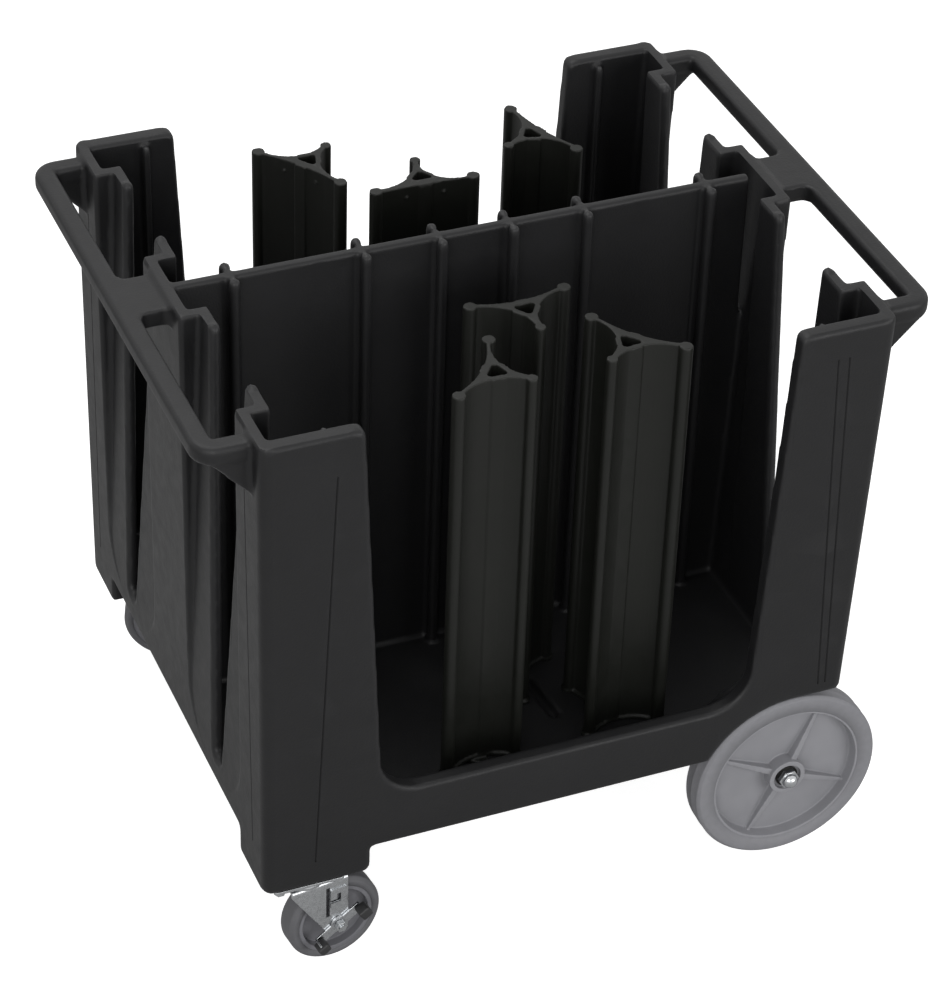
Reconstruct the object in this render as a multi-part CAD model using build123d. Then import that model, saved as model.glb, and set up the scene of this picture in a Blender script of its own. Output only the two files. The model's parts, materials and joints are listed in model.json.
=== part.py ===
from build123d import *
from math import cos, hypot, radians, sin
import os

# Plate dispenser cart: a one-piece moulded body on two large fixed wheels and
# two swivel casters, with six lift-out divider towers standing on its floor.
# Millimetres. X runs along the cart (+X is the large-wheel end), Y across it
# (-Y is the near side), Z up from the floor. The origin is on the floor, under
# the middle of the cart.

# ---- moulded body ----------------------------------------------------------
BODY_LENGTH = 796.0
BODY_WIDTH = 712.0
WALL_TOP = 816.0
FLOOR_TOP = 200.0
FLOOR_THICK = 13.0
APRON_TOP = 266.0
SIDE_WALL = 23.0
END_WALL = 14.0
WHEEL_END_DRAFT = 18.0
CORNER_RADIUS = 14.0
EDGE_ROUND = 4.0

SILL_HALF_LENGTH = 245.0
MOUTH_HALF_LENGTH = 272.0
SILL_CORNER = 55.0
POST_CORNER = 11.0

FOOT_LENGTH = 138.0
FOOT_WIDTH = 94.0
FOOT_BOTTOM = 148.0
FOOT_CORNER = 9.0

# Ends: a flat skin with two round-bottomed recesses, and a leaning panel
# behind each recess that is pierced by a tapering opening.
MID_POST_HALF = 71.0
CORNER_POST_INNER = 266.0
RECESS_BOTTOM = 203.0
RECESS_CORNER = 78.0
PANEL_SETBACK = 26.0
STEP_WALL = 14.0
GAP_TOP_INNER = 100.0
GAP_TOP_OUTER = 234.0
GAP_FOOT_INNER = 154.0
GAP_FOOT_OUTER = 196.0
GAP_FOOT = 214.0
GAP_FOOT_CORNER = 19.0
BEAD_RADIUS = 7.5
BEAD_DOME = 0.7
BEAD_RISE = 3.0

CENTRE_WALL = 14.0
CENTRE_RIB_REACH = 19.0
CENTRE_RIB_PLACES = (47.0, 145.0, 312.0)
RIB_THICK = 6.0
RIB_BEAD = 7.0
POST_RIB_X = 312.0
POST_RIB_REACH = 8.0
POST_RIB_BEAD = 5.5

# Pressed upright lines: place and height of the top, then of the foot.
GROOVE_WIDTH = 2.0
GROOVE_DEPTH = 1.2
SIDE_GROOVES = ((-306.0, 760.0, -332.0, 186.0), (321.0, 775.0, 343.0, 275.0),
                (336.0, 775.0, 353.0, 275.0))
END_GROOVE = (299.0, 742.0, 313.0, 205.0)

# Handle rails
RAIL_REACH = 65.0
RAIL_WIDTH = 27.0
RAIL_DEPTH = 25.0
RAIL_DROP = 5.0
RAIL_HALF_SPAN = 316.0
RAIL_BEND = 17.0
RAIL_EDGE = 7.0
WEB_WIDTH = 80.0
WEB_THICK = 12.0
GUSSET_THICK = 22.0
GUSSET_DROP = 48.0

# ---- divider towers --------------------------------------------------------
TOWER_TOP = 777.0
TOWER_LONG_ARM = 68.0
TOWER_SHORT_ARM = 46.0
TOWER_WAIST = 15.5
TOWER_TIP_HALF = 4.5
TOWER_BEAD_LONG = 7.0
TOWER_BEAD_SHORT = 6.0
TOWER_BAND = 11.0
TOWER_BAND_RISE = 1.0
TOWER_CORE = 18.0
TOWER_CORE_CORNER = 4.5
TOWER_CORE_FLOOR = 12.0
TOWER_FLANGE = 3.0
TOWER_FLANGE_HEIGHT = 5.0
PIMPLE_RADIUS = 3.0
PIMPLE_SINK = 1.0
PIMPLE_DROP = 16.0
PIMPLE_PLACES = (0.31, 0.69)
TAB_LENGTH = 52.0
TAB_WIDTH = 12.0
TAB_DEPTH = 10.0
TAB_CLEARANCE = 0.5
POCKET_DEPTH = 10.5
# Both ends of the spare pocket: place along the cart and distance in from the near side.
SPARE_POCKET_ENDS = ((45.0, 222.0), (38.0, 137.0))

# Each tower: place along the cart, the side it stands nearer (1 far, -1 near), distance
# in from that side, then the headings of its two long arms and its short arm.
TOWER_PLACES = (
    (-114.0, 1, 80.0, 141.0, -71.0, 39.0),
    (7.0, 1, 168.0, 190.0, -13.0, 79.0),
    (184.0, 1, 111.0, 93.0, -55.0, 204.0),
    (16.0, -1, 226.0, 159.0, 23.0, -89.0),
    (-70.0, -1, 113.0, 209.0, 74.0, -37.0),
    (105.0, -1, 118.0, 110.0, -29.0, 218.0),
)

# ---- large wheels ----------------------------------------------------------
WHEEL_RADIUS = 127.0
WHEEL_WIDTH = 38.0
WHEEL_INSET = 84.0
WHEEL_FACE_INSET = 3.0
WHEEL_PHASE = 25.0
TYRE_THICK = 20.0
TYRE_SHOULDER = 6.0
DISC_RIM = 9.0
RIM_DRAFT = 2.0
DISC_WEB = 7.0
WHEEL_HUB_RADIUS = 21.0
WHEEL_HUB_LENGTH = 44.0
WHEEL_HUB_RECESS = 5.0
WHEEL_HUB_LIP = 4.5
RIB_COUNT = 4
WHEEL_RIB = 5.0
WHEEL_RIB_HUB_HEIGHT = 13.0
WHEEL_RIB_RIM_HEIGHT = 2.0
WELL_GAP = 4.0
WELL_SHELL = 10.0
WELL_SIDE_GAP = 10.0

AXLE_RADIUS = 8.0
FIT = 0.05
BUSH_WALL = 3.0
BUSH_FLANGE = 4.0
BUSH_FLANGE_THICK = 3.0
CHEEK_THICK = 28.0
CHEEK_HALF_LENGTH = 58.0
CHEEK_NOSE = 27.0
WASHER_RADIUS = 15.0
WASHER_THICK = 2.5
FACE_GAP = 0.3
NUT_FLATS = 24.0
NUT_HEX = 8.0
NUT_DOME = 10.5
AXLE_TIP_GAP = 3.0

# ---- swivel casters --------------------------------------------------------
CASTER_INSET = 60.0
CASTER_SIDE_INSET = 30.0
CASTER_TRAIL = 38.0
CASTER_YAW_NEAR = 7.0
CASTER_YAW_FAR = -20.0
PLATE_LENGTH = 92.0
PLATE_WIDTH = 56.0
PLATE_THICK = 4.0
PLATE_CORNER = 6.0
PLATE_BOLT_PITCH_X = 74.0
PLATE_BOLT_PITCH_Y = 38.0
BOLT_RADIUS = 4.0
BOLT_HEAD_FLATS = 13.0
BOLT_HEAD = 5.3
BOLT_REACH = 28.0
RACE_RADIUS = 27.0
RACE_THICK = 5.4
RACE_EDGE = 1.6
KINGPIN_RADIUS = 6.0
KINGPIN_HEAD_RADIUS = 10.0
KINGPIN_HEAD = 4.5
FORK_SHEET = 3.5
FORK_GAP = 40.0
FORK_BEND = 5.0
FORK_BACK = 26.0
FORK_FRONT = 13.0
FORK_NOSE = 14.0
CASTER_RADIUS = 63.5
CASTER_WIDTH = 32.0
CASTER_TREAD = 12.0
CASTER_SHOULDER = 5.0
CASTER_WEB = 8.0
CASTER_RIM = 7.0
CASTER_HUB_RADIUS = 15.0
CASTER_HUB_LENGTH = 38.0
CASTER_BOLT_RADIUS = 4.0
SLEEVE_RADIUS = 6.0
LOCK_NUT_FLATS = 14.0
LOCK_NUT_THICK = 7.0

BRAKE_SHEET = 2.5
BRAKE_ARM = 36.0
BRAKE_ARM_WIDTH = 14.0
BRAKE_EYE = 12.0
BRAKE_TAB = 17.0
BRAKE_TILT = 33.0
BRAKE_PAD_WALL = 3.0
BRAKE_PAD_LENGTH = 15.0
BRACKET_SHEET = 2.0
BRACKET_WIDTH = 24.0
BRACKET_FOOT = 27.0
BRACKET_HEAD = 60.0
BRACKET_CORNER = 4.0
HOOK_WIDTH = 5.0
HOOK_REACH = 14.0
HOOK_FOOT = 38.0
HOOK_HEAD = 52.0

# ---- values worked out from the sizes above --------------------------------
HALF_LENGTH = BODY_LENGTH / 2
HALF_WIDTH = BODY_WIDTH / 2
FLOOR_BOTTOM = FLOOR_TOP - FLOOR_THICK
RAIL_TOP = WALL_TOP - RAIL_DROP
WHEEL_X = HALF_LENGTH - WHEEL_INSET
CASTER_X = CASTER_INSET - HALF_LENGTH
CASTER_Y = HALF_WIDTH - CASTER_SIDE_INSET
TOWERS = [(x, side * (HALF_WIDTH - inset), *headings)
          for x, side, inset, *headings in TOWER_PLACES]
SPARE_POCKET = [(x, inset - HALF_WIDTH) for x, inset in SPARE_POCKET_ENDS]
AXLE_Z = WHEEL_RADIUS
WELL_RADIUS = WHEEL_RADIUS + WELL_GAP
WELL_ROOF = AXLE_Z + WELL_RADIUS
WHEEL_OUTER_Y = HALF_WIDTH - WHEEL_FACE_INSET
WHEEL_MID_Y = WHEEL_OUTER_Y - WHEEL_WIDTH / 2
WELL_INNER_Y = WHEEL_OUTER_Y - WHEEL_WIDTH - WELL_SIDE_GAP
HUB_OUTER_Y = WHEEL_MID_Y + WHEEL_HUB_LENGTH / 2
HUB_INNER_Y = WHEEL_MID_Y - WHEEL_HUB_LENGTH / 2
BUSH_RADIUS = AXLE_RADIUS + BUSH_WALL
NUT_SEAT_Y = HUB_OUTER_Y - WHEEL_HUB_RECESS + FACE_GAP + WASHER_THICK
AXLE_TIP_Y = NUT_SEAT_Y + NUT_HEX + NUT_DOME / 2 - AXLE_TIP_GAP

PLATE_BOTTOM = FOOT_BOTTOM - PLATE_THICK
CROWN_TOP = PLATE_BOTTOM - FACE_GAP - RACE_THICK
CROWN_BOTTOM = CROWN_TOP - FORK_SHEET
FORK_HALF = FORK_GAP / 2 + FORK_SHEET
OUT = 1000.0
CUT_PAST = 5.0


# ---- drawing helpers -------------------------------------------------------
def block(x0, x1, y0, y1, z0, z1):
    """A box between two corners."""
    size = (x1 - x0, y1 - y0, z1 - z0)
    middle = ((x0 + x1) / 2, (y0 + y1) / 2, (z0 + z1) / 2)
    return Pos(*middle) * Box(*size)


def outline(points, radii=0):
    """A flat face inside straight lines, with each corner rounded as asked."""
    if isinstance(radii, (int, float)):
        radii = [radii] * len(points)
    return make_face(FilletPolyline(*points, radius=radii, close=True))


def slab_along_y(face, y0, y1):
    """Push an XZ drawing along Y from y0 to y1."""
    plane = Plane((0, y0, 0), x_dir=(1, 0, 0), z_dir=(0, -1, 0))
    return extrude(plane * face, amount=y0 - y1)


def slab_along_x(face, x0, x1):
    """Push a YZ drawing along X from x0 to x1."""
    plane = Plane((x0, 0, 0), x_dir=(0, 1, 0), z_dir=(1, 0, 0))
    return extrude(plane * face, amount=x1 - x0)


def ring_about_y(points, x, z):
    """Turn a (radius, y) outline about the line through (x, z) along Y."""
    face = make_face(Polyline(*[(r, 0, y) for r, y in points], close=True))
    turned = revolve(face, axis=Axis.Z)
    return Pos(x, 0, z) * Rot(-90, 0, 0) * turned


def rod_along_y(radius, x, z, y0, y1):
    """A round bar along Y."""
    return Pos(x, (y0 + y1) / 2, z) * Rot(90, 0, 0) * Cylinder(radius, abs(y1 - y0))


def rod_up(radius, x, y, z0, z1):
    """A round bar along Z."""
    return Pos(x, y, (z0 + z1) / 2) * Cylinder(radius, z1 - z0)


def fuse(parts):
    """Join a list of solids into one."""
    joined = parts[0]
    for part in parts[1:]:
        joined = joined + part
    return joined


def flip_y(shape):
    return mirror(shape, about=Plane.XZ)


# ---- moulded body ----------------------------------------------------------
def skin_x(end, z):
    """Distance of the end skin's outer face from the middle at height z."""
    if end < 0:
        return HALF_LENGTH
    lean = WHEEL_END_DRAFT / (WALL_TOP - WELL_ROOF)
    return HALF_LENGTH - lean * (WALL_TOP - z)


def panel_depth(z):
    """How far the leaning panel's outer face stands behind the skin at height z."""
    return PANEL_SETBACK * (z - RECESS_BOTTOM) / (WALL_TOP - RECESS_BOTTOM)


def end_strip(end, z0, z1, outer, inner):
    """XZ outline between two depths behind the skin, given as functions of height."""
    points = [
        (end * (skin_x(end, z0) - outer(z0)), z0),
        (end * (skin_x(end, z1) - outer(z1)), z1),
        (end * (skin_x(end, z1) - inner(z1)), z1),
        (end * (skin_x(end, z0) - inner(z0)), z0),
    ]
    return outline(points)


def well_profile(radius, roof):
    """Wheel arch seen from the side: round at the front, flat roof to the end."""
    arch = Pos(WHEEL_X, AXLE_Z) * Circle(radius)
    run_out = Pos((WHEEL_X + OUT) / 2, roof / 2) * Rectangle(OUT - WHEEL_X, roof)
    return arch + run_out


def side_panel():
    """Near side wall: two posts, the apron between them and the caster foot."""
    points = [
        (-HALF_LENGTH, WALL_TOP),
        (-MOUTH_HALF_LENGTH, WALL_TOP),
        (-SILL_HALF_LENGTH, APRON_TOP),
        (SILL_HALF_LENGTH, APRON_TOP),
        (MOUTH_HALF_LENGTH, WALL_TOP),
        (HALF_LENGTH, WALL_TOP),
        (skin_x(1, FLOOR_BOTTOM), FLOOR_BOTTOM),
        (FOOT_LENGTH - HALF_LENGTH, FLOOR_BOTTOM),
        (FOOT_LENGTH - HALF_LENGTH, FOOT_BOTTOM),
        (-HALF_LENGTH, FOOT_BOTTOM),
    ]
    radii = [POST_CORNER, POST_CORNER, SILL_CORNER, SILL_CORNER, POST_CORNER,
             POST_CORNER, 0, FOOT_CORNER / 2, FOOT_CORNER, FOOT_CORNER]
    panel = slab_along_y(outline(points, radii), -HALF_WIDTH, SIDE_WALL - HALF_WIDTH)
    mouth = [edge for edge in panel.edges()
             if edge.center().Z > APRON_TOP - 1
             and abs(edge.center().X) < HALF_LENGTH - 1
             and abs(edge.tangent_at(0.5).Y) < 0.5]
    return fillet(mouth, EDGE_ROUND)


def foot():
    """Near caster foot, behind the side wall."""
    return block(-HALF_LENGTH, FOOT_LENGTH - HALF_LENGTH,
                 -HALF_WIDTH + SIDE_WALL / 2, FOOT_WIDTH - HALF_WIDTH,
                 FOOT_BOTTOM, FLOOR_BOTTOM + 1)


def end_skin(end):
    """Outer skin of one end, across the whole width, with both recesses cut out."""
    low = FLOOR_BOTTOM
    strip = end_strip(end, low, WALL_TOP, lambda z: 0, lambda z: END_WALL)
    skin = slab_along_y(strip, -HALF_WIDTH + 1, HALF_WIDTH - 1)
    recess = outline(
        [(MID_POST_HALF, OUT), (MID_POST_HALF, RECESS_BOTTOM),
         (CORNER_POST_INNER, RECESS_BOTTOM), (CORNER_POST_INNER, OUT)],
        [0, RECESS_CORNER, RECESS_CORNER, 0])
    reach = slab_along_x(recess, end * OUT, end * HALF_LENGTH / 2)
    return skin - reach - flip_y(reach)


def gap_path(lift=0.0):
    """Edge line of one end opening in (y, z), open at the top."""
    return [(GAP_TOP_INNER, WALL_TOP + lift), (GAP_FOOT_INNER, GAP_FOOT),
            (GAP_FOOT_OUTER, GAP_FOOT), (GAP_TOP_OUTER, WALL_TOP + lift)]


def end_recess(end):
    """Leaning panel, step walls and beaded opening behind the +Y recess of one end."""
    low = RECESS_BOTTOM
    panel_face = end_strip(end, low, WALL_TOP, panel_depth,
                           lambda z: panel_depth(z) + END_WALL)
    panel = slab_along_y(panel_face, MID_POST_HALF - STEP_WALL / 2,
                         CORNER_POST_INNER + STEP_WALL / 2)
    opening = outline(gap_path(), [0, GAP_FOOT_CORNER, GAP_FOOT_CORNER, 0])
    panel = panel - slab_along_x(opening, end * OUT, end * HALF_LENGTH / 2)

    step_face = end_strip(end, low, WALL_TOP, lambda z: 0,
                          lambda z: panel_depth(z) + END_WALL)
    inner_step = slab_along_y(step_face, MID_POST_HALF - STEP_WALL, MID_POST_HALF)
    outer_step = slab_along_y(step_face, CORNER_POST_INNER,
                              CORNER_POST_INNER + STEP_WALL)

    foot_x = end * (skin_x(end, low) - panel_depth(low) - END_WALL / 2)
    top_x = end * (skin_x(end, WALL_TOP) - panel_depth(WALL_TOP) - END_WALL / 2)
    lean = hypot(top_x - foot_x, WALL_TOP - low) / (WALL_TOP - low)
    up = Vector(top_x - foot_x, 0, WALL_TOP - low).normalized()
    plane = Plane((foot_x, 0, low), x_dir=(0, 1, 0), z_dir=Vector(0, 1, 0).cross(up))
    route = [(y, (z - low) * lean) for y, z in gap_path(lift=BEAD_RISE)]
    path = plane * FilletPolyline(*route, radius=GAP_FOOT_CORNER)
    bead = sweep(Plane(path @ 0, z_dir=path % 0) * Circle(BEAD_RADIUS), path=path)
    tips = [edge for edge in bead.edges().filter_by(GeomType.CIRCLE)
            if edge.center().Z > WALL_TOP - 2 * BEAD_RADIUS]
    bead = fillet(tips, BEAD_DOME * BEAD_RADIUS)
    return fuse([panel, inner_step, outer_step, bead])


def centre_wall():
    """Wall along the middle with beaded ribs on both faces."""
    wall = block(1 - HALF_LENGTH + END_WALL / 2, skin_x(1, FLOOR_TOP) - END_WALL / 2,
                 -CENTRE_WALL / 2, CENTRE_WALL / 2, FLOOR_TOP - 1, WALL_TOP)
    long_top = [edge for edge in wall.edges().filter_by(Axis.X)
                if edge.center().Z > WALL_TOP - 1]
    wall = fillet(long_top, EDGE_ROUND)
    ribs = []
    for place in CENTRE_RIB_PLACES:
        for x in (-place, place):
            ribs.append(block(x - RIB_THICK / 2, x + RIB_THICK / 2, -CENTRE_RIB_REACH,
                              CENTRE_RIB_REACH, FLOOR_TOP - 1, WALL_TOP))
            for y in (-CENTRE_RIB_REACH, CENTRE_RIB_REACH):
                ribs.append(bead_post(x, y, RIB_BEAD, WALL_TOP + BEAD_RISE))
    return [wall] + ribs


def bead_post(x, y, radius, top):
    """A round bead standing on the floor, with a domed top."""
    post = rod_up(radius, x, y, FLOOR_TOP - 1, top)
    rim = post.edges().filter_by(GeomType.CIRCLE).sort_by(Axis.Z)[-1]
    return fillet(rim, BEAD_DOME * radius)


def post_rib(x):
    """Beaded locating rib on the inside of a near post."""
    y = -HALF_WIDTH + SIDE_WALL + POST_RIB_REACH
    rib = block(x - RIB_THICK / 2, x + RIB_THICK / 2, y - POST_RIB_REACH - 1, y,
                FLOOR_TOP - 1, WALL_TOP - 2 * POST_RIB_BEAD)
    return rib + bead_post(x, y, POST_RIB_BEAD, WALL_TOP - 2 * POST_RIB_BEAD + BEAD_RISE)


def handle_rail(end):
    """Push rail round one end, its web plate and the two gussets under it."""
    x_in = end * (HALF_LENGTH - END_WALL / 2)
    x_mid = end * (HALF_LENGTH + RAIL_REACH - RAIL_WIDTH / 2)
    z_mid = RAIL_TOP - RAIL_DEPTH / 2
    route = [(x_in, -RAIL_HALF_SPAN, z_mid), (x_mid, -RAIL_HALF_SPAN, z_mid),
             (x_mid, RAIL_HALF_SPAN, z_mid), (x_in, RAIL_HALF_SPAN, z_mid)]
    path = FilletPolyline(*route, radius=RAIL_BEND)
    section = RectangleRounded(RAIL_WIDTH, RAIL_DEPTH, RAIL_EDGE)
    start = Plane(path @ 0, x_dir=(0, 1, 0), z_dir=path % 0)
    rail = sweep(start * section, path=path)
    web = block(min(x_in, x_mid), max(x_in, x_mid), -WEB_WIDTH / 2, WEB_WIDTH / 2,
                RAIL_TOP - WEB_THICK, RAIL_TOP)
    skin = end * skin_x(end, WALL_TOP - GUSSET_DROP)
    under = RAIL_TOP - RAIL_DEPTH + RAIL_EDGE
    brace = outline([(skin - end * END_WALL / 2, under), (x_mid, under),
                     (skin, RAIL_TOP - RAIL_DEPTH - GUSSET_DROP),
                     (skin - end * END_WALL / 2, RAIL_TOP - RAIL_DEPTH - GUSSET_DROP)])
    gusset = slab_along_y(brace, RAIL_HALF_SPAN - GUSSET_THICK / 2,
                          RAIL_HALF_SPAN + GUSSET_THICK / 2)
    return fuse([rail, web, gusset, flip_y(gusset)])


def wheel_housing():
    """Near wheel well inside the body, and the cheek that carries the axle."""
    inner = -WELL_INNER_Y
    shell = slab_along_y(well_profile(WELL_RADIUS + WELL_SHELL, WELL_ROOF + WELL_SHELL),
                         -HALF_WIDTH + SIDE_WALL / 2, inner + WELL_SHELL)
    kept = block(0, skin_x(1, WELL_ROOF) - END_WALL / 2, -HALF_WIDTH, 0,
                 FLOOR_BOTTOM + 1, WALL_TOP)
    nose = Pos(WHEEL_X, AXLE_Z) * Circle(CHEEK_NOSE)
    plate = outline([(WHEEL_X - CHEEK_HALF_LENGTH, FLOOR_BOTTOM + 1),
                     (WHEEL_X + CHEEK_HALF_LENGTH, FLOOR_BOTTOM + 1),
                     (WHEEL_X + CHEEK_NOSE, AXLE_Z), (WHEEL_X - CHEEK_NOSE, AXLE_Z)])
    cheek = slab_along_y(plate + nose, inner, inner + CHEEK_THICK)
    bore = rod_along_y(BUSH_RADIUS, WHEEL_X, AXLE_Z, -HALF_WIDTH, 0)
    return shell & kept, cheek - bore


def well_cut():
    """Room for the near wheel, cut through the floor, side wall and end skin."""
    return slab_along_y(well_profile(WELL_RADIUS, WELL_ROOF), -OUT, -WELL_INNER_Y)


def corner_cut(end, side):
    """What rounding takes off one upright corner of the body, following the lean."""
    foot_x = end * skin_x(end, 0)
    top_x = end * skin_x(end, WALL_TOP)
    middle = Pos(foot_x - end * CORNER_RADIUS, side * (HALF_WIDTH - CORNER_RADIUS))
    reach = CORNER_RADIUS + CUT_PAST
    square = Pos(end * reach / 2, side * reach / 2) * Rectangle(reach, reach)
    face = middle * (square - Circle(CORNER_RADIUS))
    rise = Vector(top_x - foot_x, 0, WALL_TOP)
    return extrude(face, amount=rise.length * 1.05, dir=rise.normalized())


def groove_face(top, z_top, foot, z_foot):
    """Outline of one pressed line."""
    half = GROOVE_WIDTH / 2
    return outline([(top - half, z_top), (top + half, z_top),
                    (foot + half, z_foot), (foot - half, z_foot)])


def grooves():
    """Pressed lines in both side walls and in the caster-end skin."""
    cuts = []
    for line in SIDE_GROOVES:
        cuts.append(slab_along_y(groove_face(*line), -HALF_WIDTH - 1,
                                 GROOVE_DEPTH - HALF_WIDTH))
    cuts.append(slab_along_x(groove_face(*END_GROOVE), -HALF_LENGTH - 1,
                             GROOVE_DEPTH - HALF_LENGTH))
    return cuts + [flip_y(cut) for cut in cuts]


def floor_pocket(start, finish, clearance=0.0):
    """Round-ended pocket in the floor between two points."""
    run = Vector(*finish) - Vector(*start)
    middle = (Vector(*start) + Vector(*finish)) * 0.5
    slot = SlotOverall(run.length + clearance * 2, TAB_WIDTH + clearance * 2)
    turn = Vector(1, 0, 0).get_signed_angle(run)
    placed = Pos(middle.X, middle.Y, FLOOR_TOP - POCKET_DEPTH) * Rot(0, 0, turn) * slot
    return extrude(placed, amount=2 * POCKET_DEPTH)


def tower_tab_ends(tower):
    """Both ends of a tower's locating tab, along its first long arm."""
    x, y, heading = tower[0], tower[1], radians(tower[2])
    return (x, y), (x + TAB_LENGTH * cos(heading), y + TAB_LENGTH * sin(heading))


def bolt_places():
    """Caster plate bolts in the plate's own frame."""
    return [(x * PLATE_BOLT_PITCH_X / 2, y * PLATE_BOLT_PITCH_Y / 2)
            for x in (-1, 1) for y in (-1, 1)]


def cart_body():
    floor = block(-HALF_LENGTH, skin_x(1, FLOOR_BOTTOM), -HALF_WIDTH, HALF_WIDTH,
                  FLOOR_BOTTOM, FLOOR_TOP)
    shell, cheek = wheel_housing()
    near = [side_panel(), foot(), shell, post_rib(-POST_RIB_X), post_rib(POST_RIB_X)]
    walls = [floor] + near + [flip_y(part) for part in near] + centre_wall()
    for end in (-1, 1):
        recess = end_recess(end)
        walls += [end_skin(end), recess, flip_y(recess)]
    body = fuse(walls)
    for end in (-1, 1):
        for side in (-1, 1):
            body -= corner_cut(end, side)
    body = body - well_cut() - flip_y(well_cut())
    body = fuse([body, cheek, flip_y(cheek), handle_rail(-1), handle_rail(1)])

    cuts = grooves()
    cuts += [floor_pocket(*tower_tab_ends(tower), clearance=TAB_CLEARANCE)
             for tower in TOWERS]
    cuts.append(floor_pocket(*SPARE_POCKET, clearance=TAB_CLEARANCE))
    for x, y in bolt_places():
        hole = rod_up(BOLT_RADIUS + FIT, CASTER_X + x, -CASTER_Y + y,
                      FOOT_BOTTOM - CUT_PAST, FOOT_BOTTOM + BOLT_REACH)
        cuts += [hole, flip_y(hole)]
    for cut in cuts:
        body = body - cut
    return body


# ---- divider towers --------------------------------------------------------
def divider_tower(tower):
    """One lift-out tower: three curved blades with beaded ends, a shallow band up each
    face, two pimples near the top, a hollow core, a foot flange and a floor tab."""
    x, y = tower[0], tower[1]
    arms = sorted(zip(tower[2:], (TOWER_LONG_ARM, TOWER_LONG_ARM, TOWER_SHORT_ARM),
                      (TOWER_BEAD_LONG, TOWER_BEAD_LONG, TOWER_BEAD_SHORT)),
                  key=lambda arm: arm[0] % 360)
    edges = []
    corners = []
    bands = []
    pimples = []
    for heading, reach, _ in arms:
        turn = radians(heading)
        for side in (-1, 1):
            corners.append((reach * cos(turn) - side * TOWER_TIP_HALF * sin(turn),
                            reach * sin(turn) + side * TOWER_TIP_HALF * cos(turn)))
    for index, (heading, reach, _) in enumerate(arms):
        following, next_reach, _ = arms[(index + 1) % 3]
        gap = (following - heading) % 360
        bisector = heading + gap / 2
        waist = (TOWER_WAIST * cos(radians(bisector)), TOWER_WAIST * sin(radians(bisector)))
        leave = corners[2 * index + 1]
        arrive = corners[(2 * index + 2) % 6]
        face = ThreePointArc(leave, waist, arrive)
        edges.append(Line(corners[2 * index], leave))
        edges.append(face)
        bands.append(Pos(*waist) * Rot(0, 0, bisector)
                     * Rectangle(2 * TOWER_BAND_RISE, TOWER_BAND))
        if reach == next_reach:
            pimples = [face @ share + (face % share).rotate(Axis.Z, 90) * PIMPLE_SINK
                       for share in PIMPLE_PLACES]
    blades = make_face(Wire(edges))
    for heading, reach, bead in arms:
        turn = radians(heading)
        blades += Pos(reach * cos(turn), reach * sin(turn)) * Circle(bead)
    flange = offset(blades, amount=TOWER_FLANGE)
    for band in bands:
        blades += band
    core = outline([(TOWER_CORE * cos(radians(arm[0])), TOWER_CORE * sin(radians(arm[0])))
                    for arm in arms], TOWER_CORE_CORNER)

    height = TOWER_TOP - FLOOR_TOP
    body = extrude(blades, amount=height)
    for spot in pimples:
        body += Pos(spot.X, spot.Y, height - PIMPLE_DROP) * Sphere(PIMPLE_RADIUS)
    base = extrude(flange, amount=TOWER_FLANGE_HEIGHT)
    hollow = Pos(0, 0, TOWER_CORE_FLOOR) * extrude(core, amount=height)
    solid = Pos(x, y, FLOOR_TOP) * (body + base - hollow)

    (x0, y0), (x1, y1) = tower_tab_ends(tower)
    run = Vector(x1 - x0, y1 - y0)
    tab = Pos((x0 + x1) / 2, (y0 + y1) / 2, FLOOR_TOP - TAB_DEPTH)
    tab *= Rot(0, 0, Vector(1, 0, 0).get_signed_angle(run))
    solid += tab * extrude(SlotOverall(run.length, TAB_WIDTH), amount=TAB_DEPTH + 1)
    return solid


# ---- large wheels ----------------------------------------------------------
def rear_tyre():
    half = WHEEL_WIDTH / 2
    inner = WHEEL_RADIUS - TYRE_THICK
    step = TYRE_SHOULDER
    points = [(inner, -half), (WHEEL_RADIUS - step, -half), (WHEEL_RADIUS, step - half),
              (WHEEL_RADIUS, half - step), (WHEEL_RADIUS - step, half), (inner, half)]
    return Pos(0, -WHEEL_MID_Y, 0) * ring_about_y(points, WHEEL_X, AXLE_Z)


def rear_wheel():
    """Moulded disc with a raised rim, four tapering ribs on each face and a hub that
    is recessed round the nut."""
    outer = WHEEL_RADIUS - TYRE_THICK
    rim = outer - DISC_RIM
    half = WHEEL_WIDTH / 2 - 1
    hub = WHEEL_HUB_LENGTH / 2
    web = DISC_WEB / 2
    bore = BUSH_RADIUS
    lip = WHEEL_HUB_RADIUS - WHEEL_HUB_LIP
    seat = WHEEL_HUB_RECESS - hub
    points = [(bore, seat), (lip, seat), (lip, -hub),
              (WHEEL_HUB_RADIUS, -hub), (WHEEL_HUB_RADIUS, -web),
              (rim, -web), (rim + RIM_DRAFT, -half), (outer, -half),
              (outer, half), (rim + RIM_DRAFT, half), (rim, web), (WHEEL_HUB_RADIUS, web),
              (WHEEL_HUB_RADIUS, hub), (bore, hub)]
    disc = ring_about_y(points, 0, 0)
    fin = outline([(WHEEL_HUB_RADIUS - 2, -web - WHEEL_RIB_HUB_HEIGHT),
                   (rim + 1, -web - WHEEL_RIB_RIM_HEIGHT),
                   (rim + 1, web + WHEEL_RIB_RIM_HEIGHT),
                   (WHEEL_HUB_RADIUS - 2, web + WHEEL_RIB_HUB_HEIGHT)])
    fin = extrude(fin, amount=WHEEL_RIB / 2, both=True)
    ribs = [Rot(0, WHEEL_PHASE + 360 / RIB_COUNT * i, 0) * fin for i in range(RIB_COUNT)]
    return Pos(WHEEL_X, -WHEEL_MID_Y, AXLE_Z) * fuse([disc] + ribs)


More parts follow.
